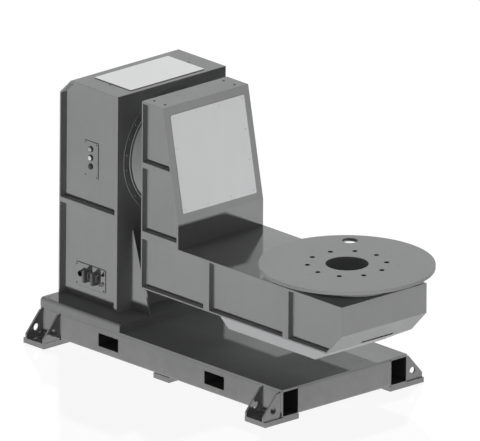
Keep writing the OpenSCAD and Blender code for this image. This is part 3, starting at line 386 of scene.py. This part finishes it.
surfaces = {
    "gear steel": {"colour": (0.50, 0.50, 0.51), "soil": 0.8, "cloud": 12.0, "edge": 0.001, "wear": 1.3,
                   "grain": 220.0, "stretch": (1, 1, 6), "rough": 0.38, "depth": 0.4, "metal": 1.0,
                   "gloss": 0.5},
    "blackened screw": {"colour": (0.06, 0.06, 0.063), "soil": 0.7, "cloud": 60.0, "edge": 0.0006,
                        "wear": 2.2, "grain": 500.0, "stretch": (1, 1, 1), "rough": 0.42, "depth": 0.4,
                        "metal": 0.6, "gloss": 0.5},
    # Painted shade: near black for the clamp inserts, standing in for the dark of the clamping holes
    "dark thread": {"colour": (0.02, 0.02, 0.021), "soil": 0.7, "cloud": 60.0, "edge": 0.0004, "wear": 1.3,
                    "grain": 500.0, "stretch": (1, 1, 1), "rough": 0.7, "depth": 0.4, "metal": 0.0,
                    "gloss": 0.1},
    "painted screw": {"colour": (0.64, 0.643, 0.65), "soil": 0.9, "cloud": 60.0, "edge": 0.0006, "wear": 1.1,
                      "grain": 500.0, "stretch": (1, 1, 1), "rough": 0.42, "depth": 0.3, "metal": 0.0,
                      "gloss": 0.3},
    "grey painted screw": {"colour": (0.27, 0.272, 0.276), "soil": 0.85, "cloud": 60.0, "edge": 0.0006,
                           "wear": 1.3, "grain": 500.0, "stretch": (1, 1, 1), "rough": 0.42, "depth": 0.3,
                           "metal": 0.0, "gloss": 0.3},
    "black plastic": {"colour": (0.035, 0.035, 0.036), "soil": 0.75, "cloud": 40.0, "edge": 0.0008,
                      "wear": 1.7, "grain": 900.0, "stretch": (1, 1, 1), "rough": 0.55, "depth": 0.5,
                      "metal": 0.0, "gloss": 0.4},
    "hood casting": {"colour": (0.155, 0.156, 0.16), "soil": 0.8, "cloud": 50.0, "edge": 0.002, "wear": 2.3,
                     "grain": 420.0, "stretch": (1, 1, 1), "rough": 0.5, "depth": 0.6, "metal": 0.0,
                     "gloss": 0.4},
    "lever steel": {"colour": (0.40, 0.40, 0.41), "soil": 0.8, "cloud": 50.0, "edge": 0.0008, "wear": 1.3,
                    "grain": 300.0, "stretch": (1, 5, 1), "rough": 0.35, "depth": 0.3, "metal": 0.7,
                    "gloss": 0.5},
    "coupling nickel": {"colour": (0.55, 0.54, 0.52), "soil": 0.8, "cloud": 40.0, "edge": 0.0006, "wear": 1.2,
                        "grain": 600.0, "stretch": (1, 8, 1), "rough": 0.3, "depth": 0.3, "metal": 0.8,
                        "gloss": 0.5},
    "grey button": {"colour": (0.47, 0.47, 0.475), "soil": 0.93, "cloud": 60.0, "edge": 0.0008, "wear": 1.1,
                    "grain": 900.0, "stretch": (1, 1, 1), "rough": 0.3, "depth": 0.15, "metal": 0.0,
                    "gloss": 0.45},
    "white button": {"colour": (0.86, 0.86, 0.85), "soil": 0.96, "cloud": 60.0, "edge": 0.0008, "wear": 1.05,
                     "grain": 900.0, "stretch": (1, 1, 1), "rough": 0.3, "depth": 0.15, "metal": 0.0,
                     "gloss": 0.45},
    "black button": {"colour": (0.045, 0.045, 0.046), "soil": 0.8, "cloud": 60.0, "edge": 0.0008, "wear": 1.8,
                     "grain": 900.0, "stretch": (1, 1, 1), "rough": 0.3, "depth": 0.15, "metal": 0.0,
                     "gloss": 0.45},
    "pale seal": {"colour": (0.36, 0.362, 0.366), "soil": 0.85, "cloud": 30.0, "edge": 0.0006, "wear": 1.1,
                  "grain": 700.0, "stretch": (1, 1, 1), "rough": 0.7, "depth": 0.4, "metal": 0.0,
                  "gloss": 0.2},
    "seal rubber": {"colour": (0.13, 0.13, 0.132), "soil": 0.8, "cloud": 30.0, "edge": 0.0006, "wear": 1.5,
                    "grain": 700.0, "stretch": (1, 1, 1), "rough": 0.7, "depth": 0.4, "metal": 0.0,
                    "gloss": 0.3},
}
worked = {name: workedSurface(name, surface) for name, surface in surfaces.items()}


# Face plate: turned on a lathe, so its tool marks run round the axis
turnedPlate = {"colour": (0.292, 0.294, 0.297), "soil": 0.93, "rings": 130.0, "rough": 0.44, "depth": 0.22,
               "edge": 0.002, "wear": 1.25, "ringDetail": 5.0, "ringRough": 0.7, "ringLeast": 0.2,
               "cloud": (3.0, 4.0, 0.6), "cloudFrom": 0.3, "cloudTo": 0.7, "spread": 0.07,
               "ringDepth": 0.0003, "gloss": 0.08}


def turnedSteel(name, turned, middle):
    material, tree, shader = newFinish(name)
    place = objectPlace(tree)
    toMiddle = tree.nodes.new("ShaderNodeMapping")
    toMiddle.inputs["Location"].default_value = (-middle[0], -middle[1], 0)
    tree.links.new(place, toMiddle.inputs["Vector"])
    parts = splitPlace(tree, toMiddle.outputs[0])
    flat = tree.nodes.new("ShaderNodeCombineXYZ")
    tree.links.new(parts[0], flat.inputs[0])
    tree.links.new(parts[1], flat.inputs[1])
    reach = tree.nodes.new("ShaderNodeVectorMath")
    reach.operation = "LENGTH"
    tree.links.new(flat.outputs[0], reach.inputs[0])
    along = tree.nodes.new("ShaderNodeCombineXYZ")
    tree.links.new(reach.outputs["Value"], along.inputs[0])
    rings = noise(tree, along.outputs[0], turned["rings"], turned["ringDetail"], turned["ringRough"])
    tone = tuple(turned["colour"])
    cloud = noise(tree, place, *turned["cloud"])
    cloudy = plainMath(tree, "MULTIPLY", ramp(tree, rings, turned["ringLeast"], 1.0),
                       ramp(tree, cloud, 0.0, 1.0, turned["cloudFrom"], turned["cloudTo"]))
    colour = blendColour(tree, cloudy, tone, tuple(c * turned["soil"] for c in tone))
    softNormal, edge = roundedEdge(tree, turned["edge"])
    colour = blendColour(tree, edge, colour, tuple(c * turned["wear"] for c in tone))
    tree.links.new(colour, shader.inputs["Base Color"])
    rough = ramp(tree, rings, turned["rough"] - turned["spread"], turned["rough"] + turned["spread"])
    tree.links.new(rough, shader.inputs["Roughness"])
    tree.links.new(bump(tree, rings, turned["depth"], turned["ringDepth"], softNormal),
                   shader.inputs["Normal"])
    shader.inputs["Specular IOR Level"].default_value = turned["gloss"]
    return material


plateLow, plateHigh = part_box("face_plate")
tableMiddle = (plateLow + plateHigh) / 2
plateSteel = turnedSteel("turned face plate steel", turnedPlate, tableMiddle)

finishOfNode = {
    "side_tube_near": tubePaintWithShadeInside, "side_tube_far": tubePaintWithShadeInside,
    "front_cross_member": memberPaintWithShadeInside, "rear_cross_member": memberPaintWithShadeInside,
    "front_fork_sleeve": pocketPaintWithShadeInside, "rear_fork_sleeve": pocketPaintWithShadeInside,
    "deck_plate": framePaint, "foot_front_near": framePaint, "foot_front_far": framePaint,
    "foot_rear_near": framePaint, "foot_rear_far": framePaint, "mid_pads": framePaint,
    "plinth_plate": framePaint,
    "arm_front_cover": coverPaint, "column_lid": litTopPaleCoverPaint, "arm_bottom_cover": panPaint,
    "tilt_fixed_ring": bearingPaint, "tilt_drum": bearingPaint, "table_fixed_ring": bearingPaint,
    "table_hub": bearingPaint, "face_plate": plateSteel,
    "tilt_gear": worked["gear steel"], "tilt_pinion": worked["gear steel"],
    "table_gear": worked["gear steel"], "table_pinion": worked["gear steel"],
    "tilt_gearbox": driveCasting, "tilt_motor": driveCasting, "table_gearbox": driveCasting,
    "table_motor": driveCasting, "tilt_drive_plate": driveCasting, "table_drive_plate": driveCasting,
    "plinth_screws": worked["blackened screw"], "tilt_gear_bolts": worked["blackened screw"],
    "table_gear_bolts": worked["blackened screw"], "table_ring_bolts": worked["blackened screw"],
    "arm_head_screws": worked["grey painted screw"], "face_plate_screws": worked["blackened screw"],
    "earth_stud": worked["blackened screw"], "switch_bodies": worked["black plastic"],
    "round_inlet": worked["black plastic"], "air_coupling": worked["coupling nickel"],
}
for name, obj in nodes.items():
    obj.data.materials.clear()
    obj.data.materials.append(finishOfNode.get(name, housingPaint))
print("finishes set on", len(nodes), "nodes")


# Small helpers for pieces
sharpAngle = math.radians(32)      # faces that meet more steeply keep a hard edge


def addPiece(name, bm, finish, body, replaced=()):
    bmesh.ops.recalc_face_normals(bm, faces=bm.faces)
    mesh = bpy.data.meshes.new(name)
    bm.to_mesh(mesh)
    bm.free()
    for face in mesh.polygons:
        face.use_smooth = True
    mesh.set_sharp_from_angle(angle=sharpAngle)
    mesh.materials.append(finish)
    obj = bpy.data.objects.new(name, mesh)
    bpy.context.scene.collection.objects.link(obj)
    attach(obj, body)
    if replaced:
        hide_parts(*replaced)


def standingAt(place, axis, turn=0.0):
    spin = Vector(axis).to_track_quat("Z", "Y").to_matrix().to_4x4()
    return Matrix.Translation(Vector(place)) @ spin @ Matrix.Rotation(turn, 4, "Z")


# Rings of (radius, height) or (radius, height, sides), joined from the first to the last
def turnedForm(bm, profile, place, segments=24):
    rings = []
    for radius, height, *sides in profile:
        if radius == 0:
            rings.append([bm.verts.new(place @ Vector((0, 0, height)))])
            continue
        ring = []
        for k in range(segments):
            angle = 2 * math.pi * k / segments
            r = radius
            if sides:
                step = 2 * math.pi / sides[0]
                r = radius * math.cos(step / 2) / math.cos(angle % step - step / 2)
            ring.append(bm.verts.new(place @ Vector((r * math.cos(angle), r * math.sin(angle), height))))
        rings.append(ring)
    for low, high in zip(rings, rings[1:]):
        for k in range(segments):
            n = (k + 1) % segments
            if len(low) == 1:
                bm.faces.new((low[0], high[k], high[n]))
            elif len(high) == 1:
                bm.faces.new((low[k], low[n], high[0]))
            else:
                bm.faces.new((low[k], low[n], high[n], high[k]))


def closedRing(bm, profile, place, segments=48):
    rings = [[bm.verts.new(place @ Vector((r * math.cos(2 * math.pi * k / segments),
                                           r * math.sin(2 * math.pi * k / segments), h)))
              for k in range(segments)] for r, h in profile]
    for low, high in zip(rings, rings[1:] + rings[:1]):
        for k in range(segments):
            n = (k + 1) % segments
            bm.faces.new((low[k], low[n], high[n], high[k]))


def roundedOutline(width, height, radius, steps=6):
    points = []
    for cornerX, cornerY, start in ((1, 1, 0), (-1, 1, 90), (-1, -1, 180), (1, -1, 270)):
        for k in range(steps + 1):
            angle = math.radians(start + 90 * k / steps)
            points.append((cornerX * (width / 2 - radius) + radius * math.cos(angle),
                           cornerY * (height / 2 - radius) + radius * math.sin(angle)))
    return points


# Joins outlines of equal length, each at its own height, and closes both ends
def stackedForm(bm, outlines, place):
    layers = [[bm.verts.new(place @ Vector((x, y, height))) for x, y in outline]
              for outline, height in outlines]
    count = len(layers[0])
    for low, high in zip(layers, layers[1:]):
        for k in range(count):
            n = (k + 1) % count
            bm.faces.new((low[k], low[n], high[n], high[k]))
    bm.faces.new(layers[0])
    bm.faces.new(layers[-1])


def frameStrip(bm, outer, inner, height, place):
    loops = [[bm.verts.new(place @ Vector((x, y, z))) for x, y in points]
             for points, z in ((outer, 0.0), (outer, height), (inner, height), (inner, 0.0))]
    count = len(outer)
    for low, high in zip(loops, loops[1:] + loops[:1]):
        for k in range(count):
            n = (k + 1) % count
            bm.faces.new((low[k], low[n], high[n], high[k]))


# Shares of a screw's radius and height, with six sides in its socket
headProfile = ((0, 0.0), (1, 0.0), (1, 0.35), (0.90, 0.74), (0.60, 1.0), (0.44, 0.98, 6), (0.44, 0.40, 6),
               (0, 0.40))


def screwHead(bm, place, radius, height):
    turnedForm(bm, [(r * radius, h * height, *sides) for r, h, *sides in headProfile], place)


# A place on the column's near side, in the middle of a box and facing outwards
def nearSidePlace(low, high):
    spin = Matrix((Vector((1, 0, 0)), Vector((0, 0, 1)), Vector((0, -1, 0)))).transposed().to_4x4()
    return Matrix.Translation(((low.x + high.x) / 2, high.y, (low.z + high.z) / 2)) @ spin


# A thin strip round a plate, with the radius of its outer and its inner corners
def addSeal(name, size, wide, high, rounds, place, finish, body):
    seal = bmesh.new()
    frameStrip(seal, roundedOutline(size[0] + 2 * wide, size[1] + 2 * wide, rounds[0]),
               roundedOutline(*size, rounds[1]), high, place)
    addPiece(name, seal, worked[finish], body)


def addCornerScrews(name, low, high, face, plate):
    screws = bmesh.new()
    for x in (low.x + plate["in"], high.x - plate["in"]):
        for z in (low.z + plate["in"], high.z - plate["in"]):
            screwHead(screws, standingAt((x, face, z), (0, -1, 0), x), plate["screw"], plate["head"])
    addPiece(name, screws, worked["blackened screw"], "base")


beadForm = {"sides": 8, "fewest": 4, "end": 0.45}


# A rippled bead between two points, narrower at its ends
def weldBead(bm, start, end, bead):
    start, end = Vector(start), Vector(end)
    direction = (end - start).normalized()
    side = direction.orthogonal().normalized()
    other = direction.cross(side)
    length = (end - start).length
    count = max(beadForm["fewest"], int(length / bead["pitch"]))
    sides = beadForm["sides"]
    angles = [2 * math.pi * k / sides for k in range(sides)]
    rings = []
    for i in range(count + 1):
        swell = beadForm["end"] if i in (0, count) else 1.0 + bead["ripple"] * math.cos(math.pi * i)
        centre = start + direction * length * (i / count)
        spokes = [side * math.cos(a) + other * math.sin(a) for a in angles]
        rings.append([bm.verts.new(centre + spoke * bead["radius"] * swell) for spoke in spokes])
    for low, high in zip(rings, rings[1:]):
        for k in range(sides):
            n = (k + 1) % sides
            bm.faces.new((low[k], low[n], high[n], high[k]))
    bm.faces.new(rings[0])
    bm.faces.new(rings[-1])


# Weld beads, which lie in the inner corners where plates meet
baseWelds = {"radius": 0.0045, "pitch": 0.007, "ripple": 0.13, "inset": 0.012, "gussetPlate": 0.012,
             "frontPlate": 0.024, "backPlate": 0.009}


def addBaseWelds(bead):
    bm = bmesh.new()
    plinthLow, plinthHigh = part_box("plinth_plate")
    deckLow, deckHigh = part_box("deck_plate")
    columnLow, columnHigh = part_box("column_housing")
    gussetLow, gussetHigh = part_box("column_gussets")
    top = plinthHigh.z
    weldBead(bm, (plinthHigh.x, deckLow.y + bead["inset"], plinthLow.z),
             (plinthHigh.x, deckHigh.y - bead["inset"], plinthLow.z), bead)
    for y in (deckLow.y + bead["radius"], deckHigh.y - bead["radius"]):     # under the deck's edge
        weldBead(bm, (deckLow.x + bead["inset"], y, deckLow.z - bead["radius"] * 0.5),
                 (deckHigh.x - bead["inset"], y, deckLow.z - bead["radius"] * 0.5), bead)
    for x in (columnLow.x, columnHigh.x):
        weldBead(bm, (x, columnLow.y, top), (x, columnHigh.y, top), bead)
    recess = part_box("switch_plate")[1].y      # the side panel that carries the plates
    middle = (columnLow.y + columnHigh.y) / 2
    for y in (recess, 2 * middle - recess):
        weldBead(bm, (columnLow.x + bead["backPlate"], y, top), (columnHigh.x - bead["frontPlate"], y, top),
                 bead)
    for outer in (gussetLow.y, gussetHigh.y):
        inner = outer + math.copysign(bead["gussetPlate"], middle - outer)
        for y in (outer, inner):
            weldBead(bm, (gussetLow.x, y, top), (gussetHigh.x - bead["inset"], y, top), bead)
            weldBead(bm, (gussetLow.x, y, top), (gussetLow.x, y, gussetHigh.z - bead["inset"]), bead)
    addPiece("base_weld_beads", bm, framePaint, "base")


footWelds = {"radius": 0.0045, "pitch": 0.007, "ripple": 0.13, "plate": 0.012, "firstPlate": 0.002,
             "lastPlate": 0.015, "relief": 0.012, "toe": 0.010}


def addFootWelds(bead):
    bm = bmesh.new()
    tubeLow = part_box("side_tube_near")[0]
    for foot in ("foot_front_near", "foot_front_far", "foot_rear_near", "foot_rear_far"):
        low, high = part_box(foot)
        near = foot.endswith("near")
        wall = tubeLow.y if near else -tubeLow.y
        toe = low.y if near else high.y
        front = foot.startswith("foot_front")
        outerEnd, innerEnd = (high.x, low.x) if front else (low.x, high.x)
        inward = -1 if front else 1
        faces = [outerEnd + inward * bead["lastPlate"],
                 outerEnd + inward * (bead["lastPlate"] + bead["plate"]),
                 innerEnd - inward * bead["firstPlate"],
                 innerEnd - inward * (bead["firstPlate"] + bead["plate"])]
        out = -1 if near else 1
        for x in faces:
            weldBead(bm, (x, wall + out * bead["relief"], tubeLow.z),
                     (x, toe - out * bead["toe"], tubeLow.z), bead)
            weldBead(bm, (x, wall, tubeLow.z + bead["relief"]), (x, wall, high.z - bead["toe"]), bead)
    addPiece("foot_weld_beads", bm, framePaint, "base")


armWelds = {"radius": 0.004, "pitch": 0.007, "ripple": 0.13, "bottom": 0.008, "tip": 0.012, "face": 0.014,
            "slope": 0.13, "ribs": ((0.520, 0.048), (1.179, 0.048)),
            "headRibs": ((0.296, 0.046), (0.719, 0.032)), "back": 0.009, "slopeFoot": 0.461,
            "slopeRatio": 0.2012, "recess": 0.040, "headTop": 0.012, "side": 0.002}


def addArmWelds(bead):
    bm = bmesh.new()
    low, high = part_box("arm_housing")
    beamLow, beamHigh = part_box("arm_beam")
    plateLow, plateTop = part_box("arm_top_plate")
    weldBead(bm, (beamLow.x, low.y + bead["side"], plateTop.z),
             (beamLow.x, high.y - bead["side"], plateTop.z), bead)
    for y in (low.y + bead["recess"], high.y - bead["recess"]):
        for start, width in bead["ribs"]:
            for x in (low.x + start, low.x + start + width):
                weldBead(bm, (x, y, low.z + bead["bottom"]), (x, y, plateLow.z), bead)
        for start, thick in bead["headRibs"]:
            for z in (low.z + start, low.z + start + thick):
                front = high.x - bead["face"] - max(0.0, (z - low.z - bead["slopeFoot"])) * bead["slopeRatio"]
                if start > bead["slopeFoot"] or z < plateLow.z:
                    weldBead(bm, (low.x + bead["back"], y, z), (front, y, z), bead)
        weldBead(bm, (low.x + bead["back"], y, low.z + bead["bottom"]),
                 (beamHigh.x - bead["slope"], y, low.z + bead["bottom"]), bead)
        weldBead(bm, (low.x + bead["back"], y, low.z + bead["bottom"]),
                 (low.x + bead["back"], y, high.z - bead["headTop"]), bead)
        weldBead(bm, (beamLow.x, y, plateLow.z), (beamHigh.x - bead["tip"], y, plateLow.z), bead)
    addPiece("arm_weld_beads", bm, housingPaint, "arm")


addBaseWelds(baseWelds)
addFootWelds(footWelds)
addArmWelds(armWelds)
print("weld beads laid")


# A thin seal round the lid and round the front cover, and the screws of cover and bearing ring
lidFittings = {"seal": 0.002, "sealHigh": 0.0015, "round": 0.008}


def addLidFittings(lid):
    low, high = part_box("column_lid")
    place = standingAt(((low.x + high.x) / 2, (low.y + high.y) / 2, low.z), (0, 0, 1))
    addSeal("lid_seal", (high.x - low.x, high.y - low.y), lid["seal"], lid["sealHigh"],
            (lid["round"] + lid["seal"], lid["round"]), place, "pale seal", "base")


coverFittings = {"screw": 0.0045, "head": 0.002, "in": 0.020, "across": 4, "up": 4, "seal": 0.002,
                 "sealHigh": 0.0015, "round": 0.008, "thick": 0.003, "turn": 0.4}


def addCoverFittings(cover):
    low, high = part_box("arm_front_cover")
    run, rise, width = high.x - low.x, high.z - low.z, high.y - low.y
    # the cover's box is its length along the slope and its thickness, both tilted
    slope = math.atan2(run, rise)
    length = (rise - cover["thick"] * math.sin(slope)) / math.cos(slope)
    slope = math.atan2(run - cover["thick"] * math.cos(slope), length * math.cos(slope))
    up = Vector((-math.sin(slope), 0, math.cos(slope)))
    out = Vector((math.cos(slope), 0, math.sin(slope)))
    foot = Vector((high.x - cover["thick"] * math.cos(slope), (low.y + high.y) / 2, low.z))
    screws = bmesh.new()
    spots = []
    for i in range(cover["up"]):
        along = cover["in"] + (length - 2 * cover["in"]) * i / (cover["up"] - 1)
        for side in (-1, 1):
            spots.append((side * (width / 2 - cover["in"]), along))
    for i in range(1, cover["across"] - 1):
        sideways = -width / 2 + cover["in"] + (width - 2 * cover["in"]) * i / (cover["across"] - 1)
        spots += [(sideways, cover["in"]), (sideways, length - cover["in"])]
    for n, (sideways, along) in enumerate(spots):
        place = foot + up * along + Vector((0, sideways, 0)) + out * cover["thick"]
        screwHead(screws, standingAt(place, out, cover["turn"] * n), cover["screw"], cover["head"])
    addPiece("front_cover_screws", screws, worked["painted screw"], "arm")
    spin = Matrix((Vector((0, 1, 0)), up, out)).transposed().to_4x4()
    addSeal("front_cover_seal", (width, length), cover["seal"], cover["sealHigh"],
            (cover["round"] + cover["seal"], cover["round"]),
            Matrix.Translation(foot + up * (length / 2)) @ spin, "pale seal", "arm")


ringScrews = {"count": 24, "radius": 0.0065, "head": 0.0025, "share": 0.5}


def addRingScrews(ring):
    low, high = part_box("tilt_fixed_ring")
    drumLow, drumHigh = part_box("tilt_drum")
    outer = (high.y - low.y) / 2
    lip = (drumHigh.y - drumLow.y) / 2
    middle = (low + high) / 2
    reach = lip + (outer - lip) * ring["share"]
    bm = bmesh.new()
    for i in range(ring["count"]):
        angle = 2 * math.pi * (i + 0.5) / ring["count"]
        place = (high.x, middle.y + reach * math.cos(angle), middle.z + reach * math.sin(angle))
        screwHead(bm, standingAt(place, (1, 0, 0), angle), ring["radius"], ring["head"])
    addPiece("bearing_ring_screws", bm, worked["grey painted screw"], "base")


addLidFittings(lidFittings)
addCoverFittings(coverFittings)
addRingScrews(ringScrews)
print("seals, cover screws and ring screws placed")


# Switch plate: rubber gasket, four screws, a dark bezel round each collar, domed caps
switchFittings = {"gasket": 0.0015, "gasketHigh": 0.003, "corner": 0.006, "screw": 0.004, "head": 0.0022,
                  "in": 0.010, "bezelOuter": 0.0172, "bezelInner": 0.0151, "bezelLip": 0.0134,
                  "collar": 0.009, "plate": 0.006, "plateCorner": 0.001, "proud": 0.0006, "bezelSide": 0.0015,
                  "bezelTop": 0.0012, "lip": 0.0005, "segments": 32}


def addSwitchFittings(switch):
    low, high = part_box("switch_plate")
    face = high.y - switch["plate"]
    addSeal("switch_plate_gasket", (high.x - low.x, high.z - low.z), switch["gasket"], switch["gasketHigh"],
            (switch["corner"], switch["plateCorner"]), nearSidePlace(low, high), "seal rubber", "base")
    addCornerScrews("switch_plate_screws", low, high, face, switch)
    bezels = bmesh.new()
    top = switch["collar"] + switch["proud"]
    inner, outer, lip = switch["bezelInner"], switch["bezelOuter"], switch["bezelLip"]
    profile = [(inner, 0.0), (outer, 0.0), (outer, top - switch["bezelSide"]),
               (outer - switch["bezelTop"], top), (lip, top), (lip, top - switch["lip"]),
               (inner, top - switch["lip"])]
    for button in buttonCaps:
        capLow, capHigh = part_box(button)
        place = standingAt(((capLow.x + capHigh.x) / 2, face, (capLow.z + capHigh.z) / 2), (0, -1, 0))
        closedRing(bezels, profile, place, switch["segments"])
    addPiece("button_bezels", bezels, worked["black plastic"], "base")


buttonCaps = {"button_upper": ("upper_button", "grey button", "button_grey"),
              "button_middle": ("middle_button", "white button", "button_white"),
              "button_lower": ("lower_button", "black button", "button_black")}
capForm = {"dome": 0.0022, "edge": 0.0018, "foot": 0.001, "steps": 4, "crown": ((0.75, 0.55), (0.4, 0.88)),
           "segments": 32}


def addButtonCaps(caps, form):
    for node, (body, finish, slotName) in caps.items():
        low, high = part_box(node)
        radius = (high.x - low.x) / 2
        length = high.y - low.y
        place = standingAt(((low.x + high.x) / 2, high.y, (low.z + high.z) / 2), (0, -1, 0))
        edge = form["edge"]
        rim = length - form["dome"]
        profile = [(0, 0.0), (radius - form["foot"], 0.0), (radius, form["foot"]), (radius, rim - edge)]
        for k in range(1, form["steps"] + 1):
            angle = math.radians(90 * k / form["steps"])
            profile.append((radius - edge * (1 - math.cos(angle)), rim - edge * (1 - math.sin(angle))))
        inner = radius - edge
        profile += [(inner * across, rim + form["dome"] * up) for across, up in form["crown"]] + [(0, length)]
        bm = bmesh.new()
        turnedForm(bm, profile, place, form["segments"])
        addPiece(node + "_cap", bm, worked[finish], body, (node,))


addSwitchFittings(switchFittings)
addButtonCaps(buttonCaps, capForm)
print("switch plate fitted")


# Threaded inserts in the clamping holes of the face plate, each with a flat collar and a thread. Their
# near-black finish and the collar, wider than the hole, are painted shade that stands in for the dark of the
# holes and makes it wider
clampInserts = {"circle": 0.225, "count": 10, "hole": 0.0129, "thread": 0.0112, "pitch": 0.0025,
                "sunk": 0.0008, "floor": 0.0006, "collar": 0.0152, "collarHigh": 0.0004, "wall": 0.0008,
                "lead": 0.001, "crest": 0.25, "root": 0.75}


def addClampInserts(clamp):
    bm = bmesh.new()
    face = plateHigh.z - plateLow.z
    top = face - clamp["sunk"]
    inner = clamp["hole"] - clamp["wall"]
    profile = [(0, 0.0), (clamp["hole"], 0.0), (clamp["hole"], face), (clamp["collar"], face),
               (clamp["collar"], face + clamp["collarHigh"]), (inner, face + clamp["collarHigh"]),
               (inner, top)]
    height = top - clamp["lead"]
    while height > clamp["floor"] + clamp["pitch"]:
        profile += [(clamp["thread"], height - clamp["crest"] * clamp["pitch"]),
                    (inner, height - clamp["root"] * clamp["pitch"])]
        height -= clamp["pitch"]
    profile += [(clamp["thread"], clamp["floor"]), (0, clamp["floor"])]
    for i in range(clamp["count"]):
        angle = 2 * math.pi * (i + 0.5) / clamp["count"]
        place = Matrix.Translation((tableMiddle.x + clamp["circle"] * math.cos(angle),
                                    tableMiddle.y + clamp["circle"] * math.sin(angle), plateLow.z))
        turnedForm(bm, profile, place)
    addPiece("clamp_inserts", bm, worked["dark thread"], "table")


addClampInserts(clampInserts)
print("clamp inserts placed")


# Socket plate with rounded corners, its gasket and screws, and the hooded connectors on it
socketFittings = {"corner": 0.012, "edge": 0.001, "gasket": 0.0025, "gasketHigh": 0.003, "screw": 0.0045,
                  "head": 0.0024, "in": 0.012}


def addSocketPlate(socket):
    low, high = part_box("socket_plate")
    width, height, thick = high.x - low.x, high.z - low.z, high.y - low.y
    place = nearSidePlace(low, high)
    plate = bmesh.new()
    corner, edge = socket["corner"], socket["edge"]
    full = roundedOutline(width, height, corner)
    eased = roundedOutline(width - 2 * edge, height - 2 * edge, corner - edge)
    stackedForm(plate, [(full, 0.0), (full, thick - edge), (eased, thick)], place)
    addPiece("socket_mounting_plate", plate, housingPaint, "base", ("socket_plate",))
    addSeal("socket_plate_gasket", (width, height), socket["gasket"], socket["gasketHigh"],
            (corner + socket["gasket"], corner), place, "seal rubber", "base")
    addCornerScrews("socket_plate_screws", low, high, low.y, socket)


# Levels of a hood: share of its height, and steps inwards by its ridge, taper and crown
hoodForm = {"frame": 0.010, "corner": 0.004, "edge": 0.001, "hoodWide": 0.022, "hoodHigh": 0.080,
            "round": 0.006, "leastRound": 0.0015, "taper": 0.0015, "crown": 0.005, "ridge": 0.0012,
            "screw": 0.0024, "screwHigh": 0.0015, "screwSide": 0.0115, "screwIn": 0.0042,
            "levels": ((0.0, 0, 0, 0), (0.10, 0, 0, 0), (0.12, -1, 0, 0), (0.20, -1, 0, 0), (0.22, 0, 0, 0),
                       (0.80, 0, 1, 0), (0.90, 0, 1, 0.18), (0.965, 0, 1, 0.5), (1.0, 0, 1, 1))}


def addHood(name, node, hood, lever):
    low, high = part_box(node)
    depth = high.y - low.y
    frameWide, frameHigh = high.x - low.x, high.z - low.z
    place = nearSidePlace(low, high)
    body = bmesh.new()
    edge = hood["edge"]
    base = roundedOutline(frameWide, frameHigh, hood["corner"])
    baseTop = roundedOutline(frameWide - 2 * edge, frameHigh - 2 * edge, hood["corner"] - edge)
    stackedForm(body, [(base, 0.0), (base, hood["frame"] - edge), (baseTop, hood["frame"])], place)
    levels = []
    for share, ridge, taper, crown in hood["levels"]:
        inset = hood["ridge"] * ridge + hood["taper"] * taper + hood["crown"] * crown
        outline = roundedOutline(hood["hoodWide"] - 2 * inset, hood["hoodHigh"] - 2 * inset,
                                 max(hood["leastRound"], hood["round"] - inset))
        levels.append((outline, hood["frame"] + (depth - hood["frame"]) * share))
    stackedForm(body, levels, place)
    for side in (-1, 1):
        for up in (-1, 1):
            spot = (side * hood["screwSide"], up * (frameHigh / 2 - hood["screwIn"]), hood["frame"])
            screwHead(body, place @ Matrix.Translation(spot), hood["screw"], hood["screwHigh"])
    addPiece(name, body, worked["hood casting"], "base", (node,))
    addLevers(name + "_levers", place, frameWide, hood["frame"], lever)


# On each side of a hood: a bar, two legs and the pins that they turn on
leverForm = {"thick": 0.003, "wide": 0.007, "high": 0.046, "round": 0.003, "above": 0.024, "legHigh": 0.026,
             "legShare": 0.8, "legSide": 0.0195, "legAbove": 0.013, "legIn": 0.0002, "pin": 0.0032,
             "pinAbove": 0.006, "pinSegments": 16}


def addLevers(name, place, frameWide, foot, lever):
    levers = bmesh.new()
    thick = lever["thick"]
    bar = roundedOutline(lever["wide"], lever["high"], lever["round"])
    leg = [(x * lever["legShare"], y * lever["legShare"])
           for x, y in roundedOutline(lever["wide"], lever["legHigh"], lever["round"])]
    pin = [(0, 0.0), (lever["pin"], 0.0), (lever["pin"], thick), (0, thick)]
    for side in (-1, 1):
        x = side * (frameWide / 2 - thick)
        outwards = Matrix.Rotation(math.radians(90 * side), 4, "Y")
        stackedForm(levers, [(bar, 0.0), (bar, thick)],
                    place @ Matrix.Translation((x, 0, foot + lever["above"])) @ outwards)
        for up in (-1, 1):
            spot = place @ Matrix.Translation((x, up * lever["legSide"], foot + lever["legAbove"])) @ outwards
            stackedForm(levers, [(leg, lever["legIn"]), (leg, thick - lever["legIn"])],
                        spot @ Matrix.Rotation(math.radians(90), 4, "Z"))
            spot = place @ Matrix.Translation((x, up * lever["legSide"], foot + lever["pinAbove"])) @ outwards
            turnedForm(levers, pin, spot, lever["pinSegments"])
    addPiece(name, levers, worked["lever steel"], "base")


addSocketPlate(socketFittings)
addHood("power_hood", "power_connector", hoodForm, leverForm)
addHood("signal_hood", "signal_connector", hoodForm, leverForm)
print("socket plate and hoods fitted")

# The table darkens itself and not the head behind it, so it has a front lamp of its own
tablePieces = ("face_plate", "table_hub", "table_fixed_ring", "face_plate_screws", "clamp_inserts")
shadedPieces = ("column_housing",)         # the arm keeps the front lamp off the column


def lampGroup(name, pieces, state):
    group = bpy.data.collections.new(name)
    for piece in pieces:
        group.objects.link(nodes[piece] if piece in nodes else bpy.data.objects[piece])
    for entry in group.collection_objects:
        entry.light_linking.link_state = state
    return group


front = bpy.data.objects["frontLamp"].light_linking
front.blocker_collection = lampGroup("casts no front shadow", tablePieces, "EXCLUDE")
front.receiver_collection = lampGroup("not lit from the front", tablePieces + shadedPieces, "EXCLUDE")
tableFront = bpy.data.objects["tableFrontLamp"].light_linking
tableFront.receiver_collection = lampGroup("lit by the table lamp", tablePieces, "INCLUDE")
print("lamps linked")
